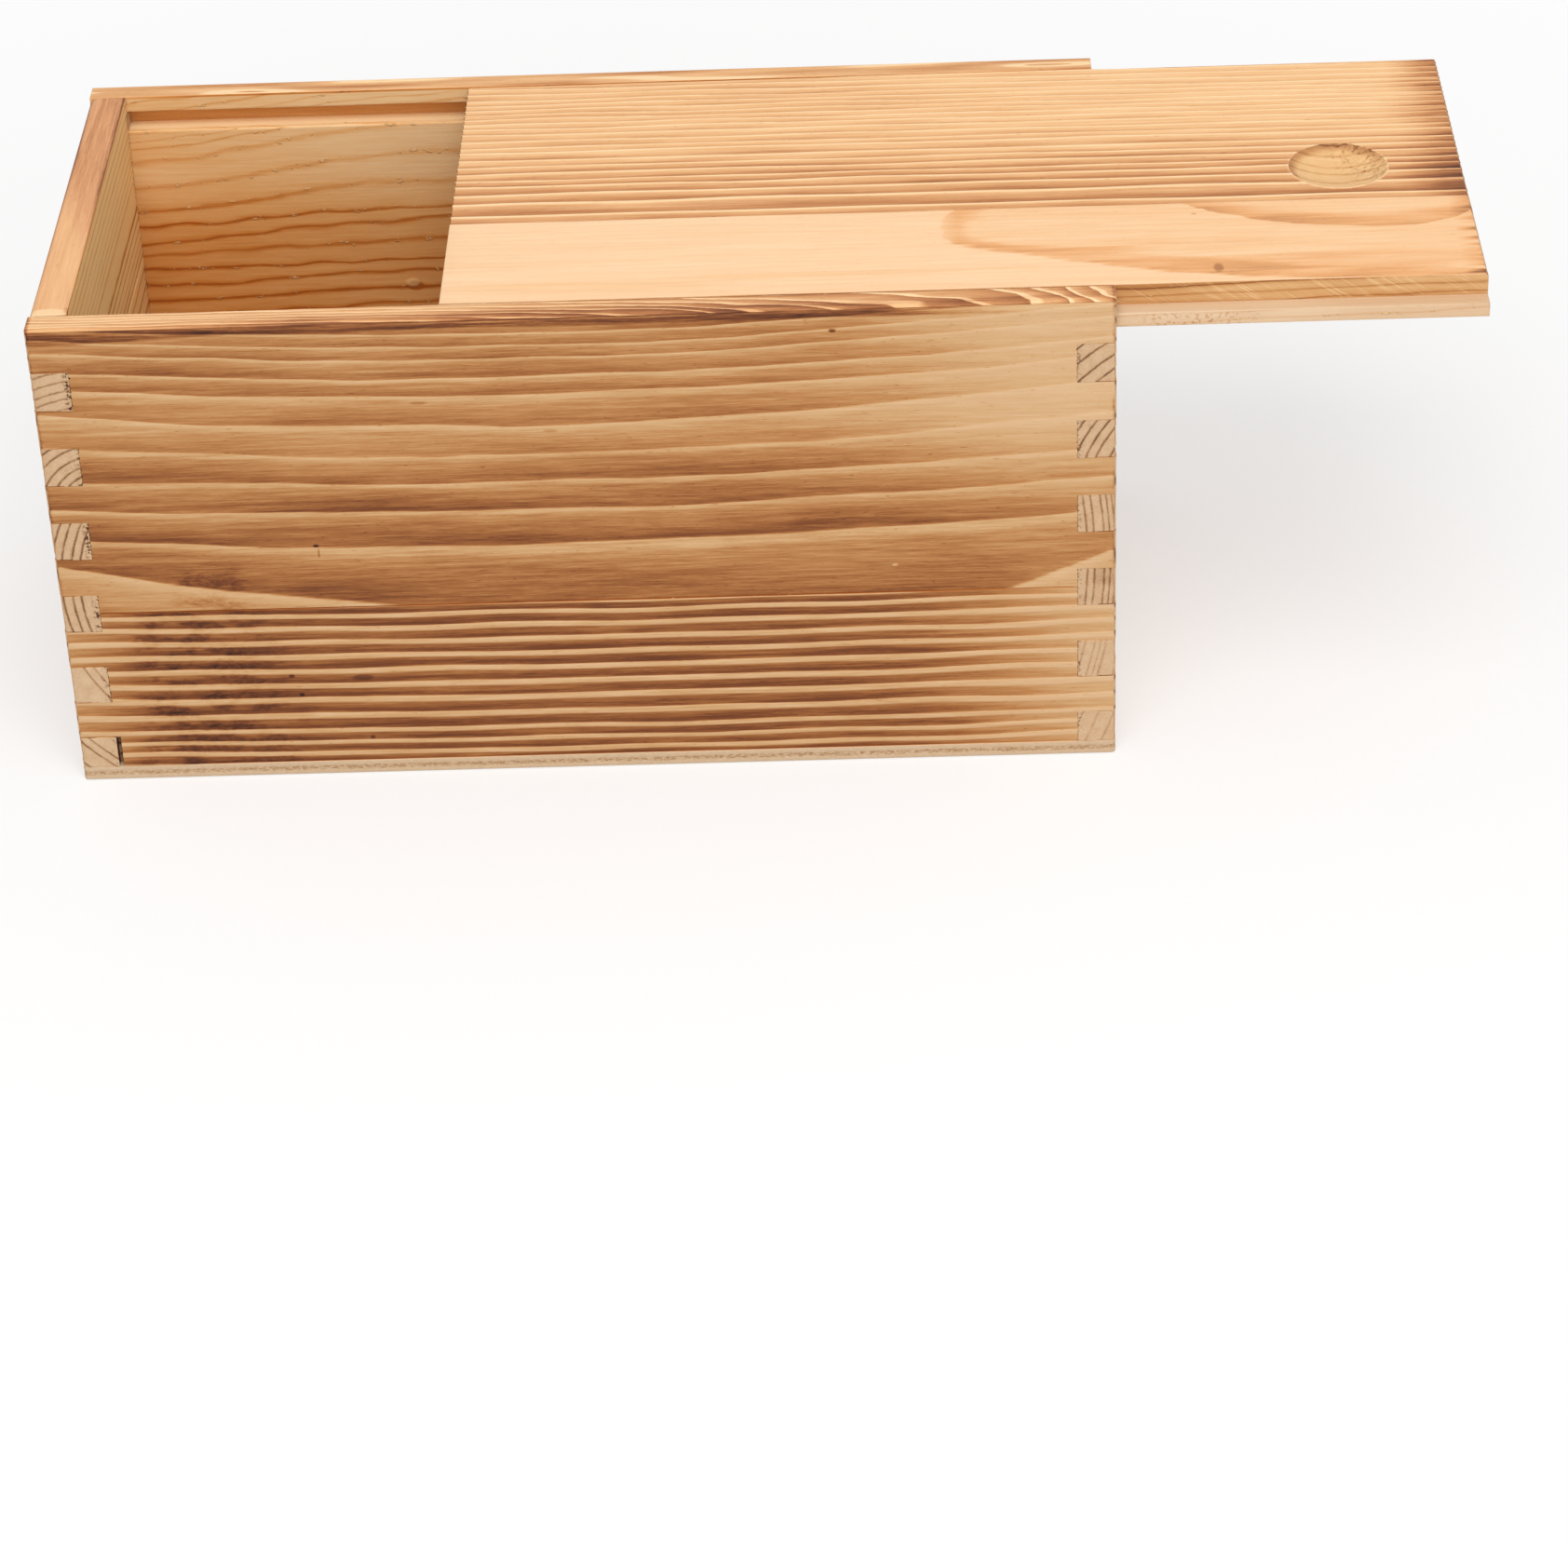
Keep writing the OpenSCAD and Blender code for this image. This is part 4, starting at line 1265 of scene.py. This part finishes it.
class BOX_OT_back_side(bpy.types.Operator):
    """Make the back's two staves"""

    bl_idname = "pine_box.back_side"
    bl_label = "Back Side"

    def execute(self, context):
        back_side()
        return {"FINISHED"}


class BOX_OT_closed_end(bpy.types.Operator):
    """Make the closed end's two staves"""

    bl_idname = "pine_box.closed_end"
    bl_label = "Closed End"

    def execute(self, context):
        closed_end()
        return {"FINISHED"}


class BOX_OT_open_end(bpy.types.Operator):
    """Make the open end's two staves"""

    bl_idname = "pine_box.open_end"
    bl_label = "Open End"

    def execute(self, context):
        open_end()
        return {"FINISHED"}


class BOX_OT_bottom(bpy.types.Operator):
    """Make the plywood bottom"""

    bl_idname = "pine_box.bottom"
    bl_label = "Bottom"

    def execute(self, context):
        bottom_panel()
        return {"FINISHED"}


class BOX_OT_lid(bpy.types.Operator):
    """Make the lid's two staves, with the finger scoop"""

    bl_idname = "pine_box.lid"
    bl_label = "Lid"

    def execute(self, context):
        lid()
        return {"FINISHED"}


class BOX_OT_stage(bpy.types.Operator):
    """Make the floor, the light and the camera"""

    bl_idname = "pine_box.stage"
    bl_label = "Stage"

    def execute(self, context):
        stage()
        return {"FINISHED"}


OPERATORS = [BOX_OT_finishes, BOX_OT_front_side, BOX_OT_back_side, BOX_OT_closed_end, BOX_OT_open_end,
             BOX_OT_bottom, BOX_OT_lid, BOX_OT_stage]


class BOX_PT_panel(bpy.types.Panel):
    """Lists the steps and the values of the box."""

    bl_label = "Pine Box"
    bl_idname = "BOX_PT_panel"
    bl_space_type = "VIEW_3D"
    bl_region_type = "UI"
    bl_category = "Pine Box"

    def draw(self, context):
        column = self.layout.column()
        for made in OPERATORS:
            column.operator(made.bl_idname)
        for group in (context.scene.pine_wood, context.scene.pine_stage):
            for name in group.__annotations__:
                column.prop(group, name)


CLASSES = [BOX_PG_wood, BOX_PG_stage, *OPERATORS, BOX_PT_panel]


def register():
    """Registers the classes and hangs the values on the scene."""
    for made in CLASSES:
        bpy.utils.register_class(made)
    bpy.types.Scene.pine_wood = PointerProperty(type=BOX_PG_wood)
    bpy.types.Scene.pine_stage = PointerProperty(type=BOX_PG_stage)


def unregister():
    """Takes back what register did."""
    del bpy.types.Scene.pine_stage
    del bpy.types.Scene.pine_wood
    for made in reversed(CLASSES):
        bpy.utils.unregister_class(made)


def main():
    """Makes the box step by step."""
    register()
    steps = bpy.ops.pine_box
    for step in (steps.finishes, steps.front_side, steps.back_side, steps.closed_end, steps.open_end,
                 steps.bottom, steps.lid, steps.stage):
        step()


if __name__ == "__main__":
    main()
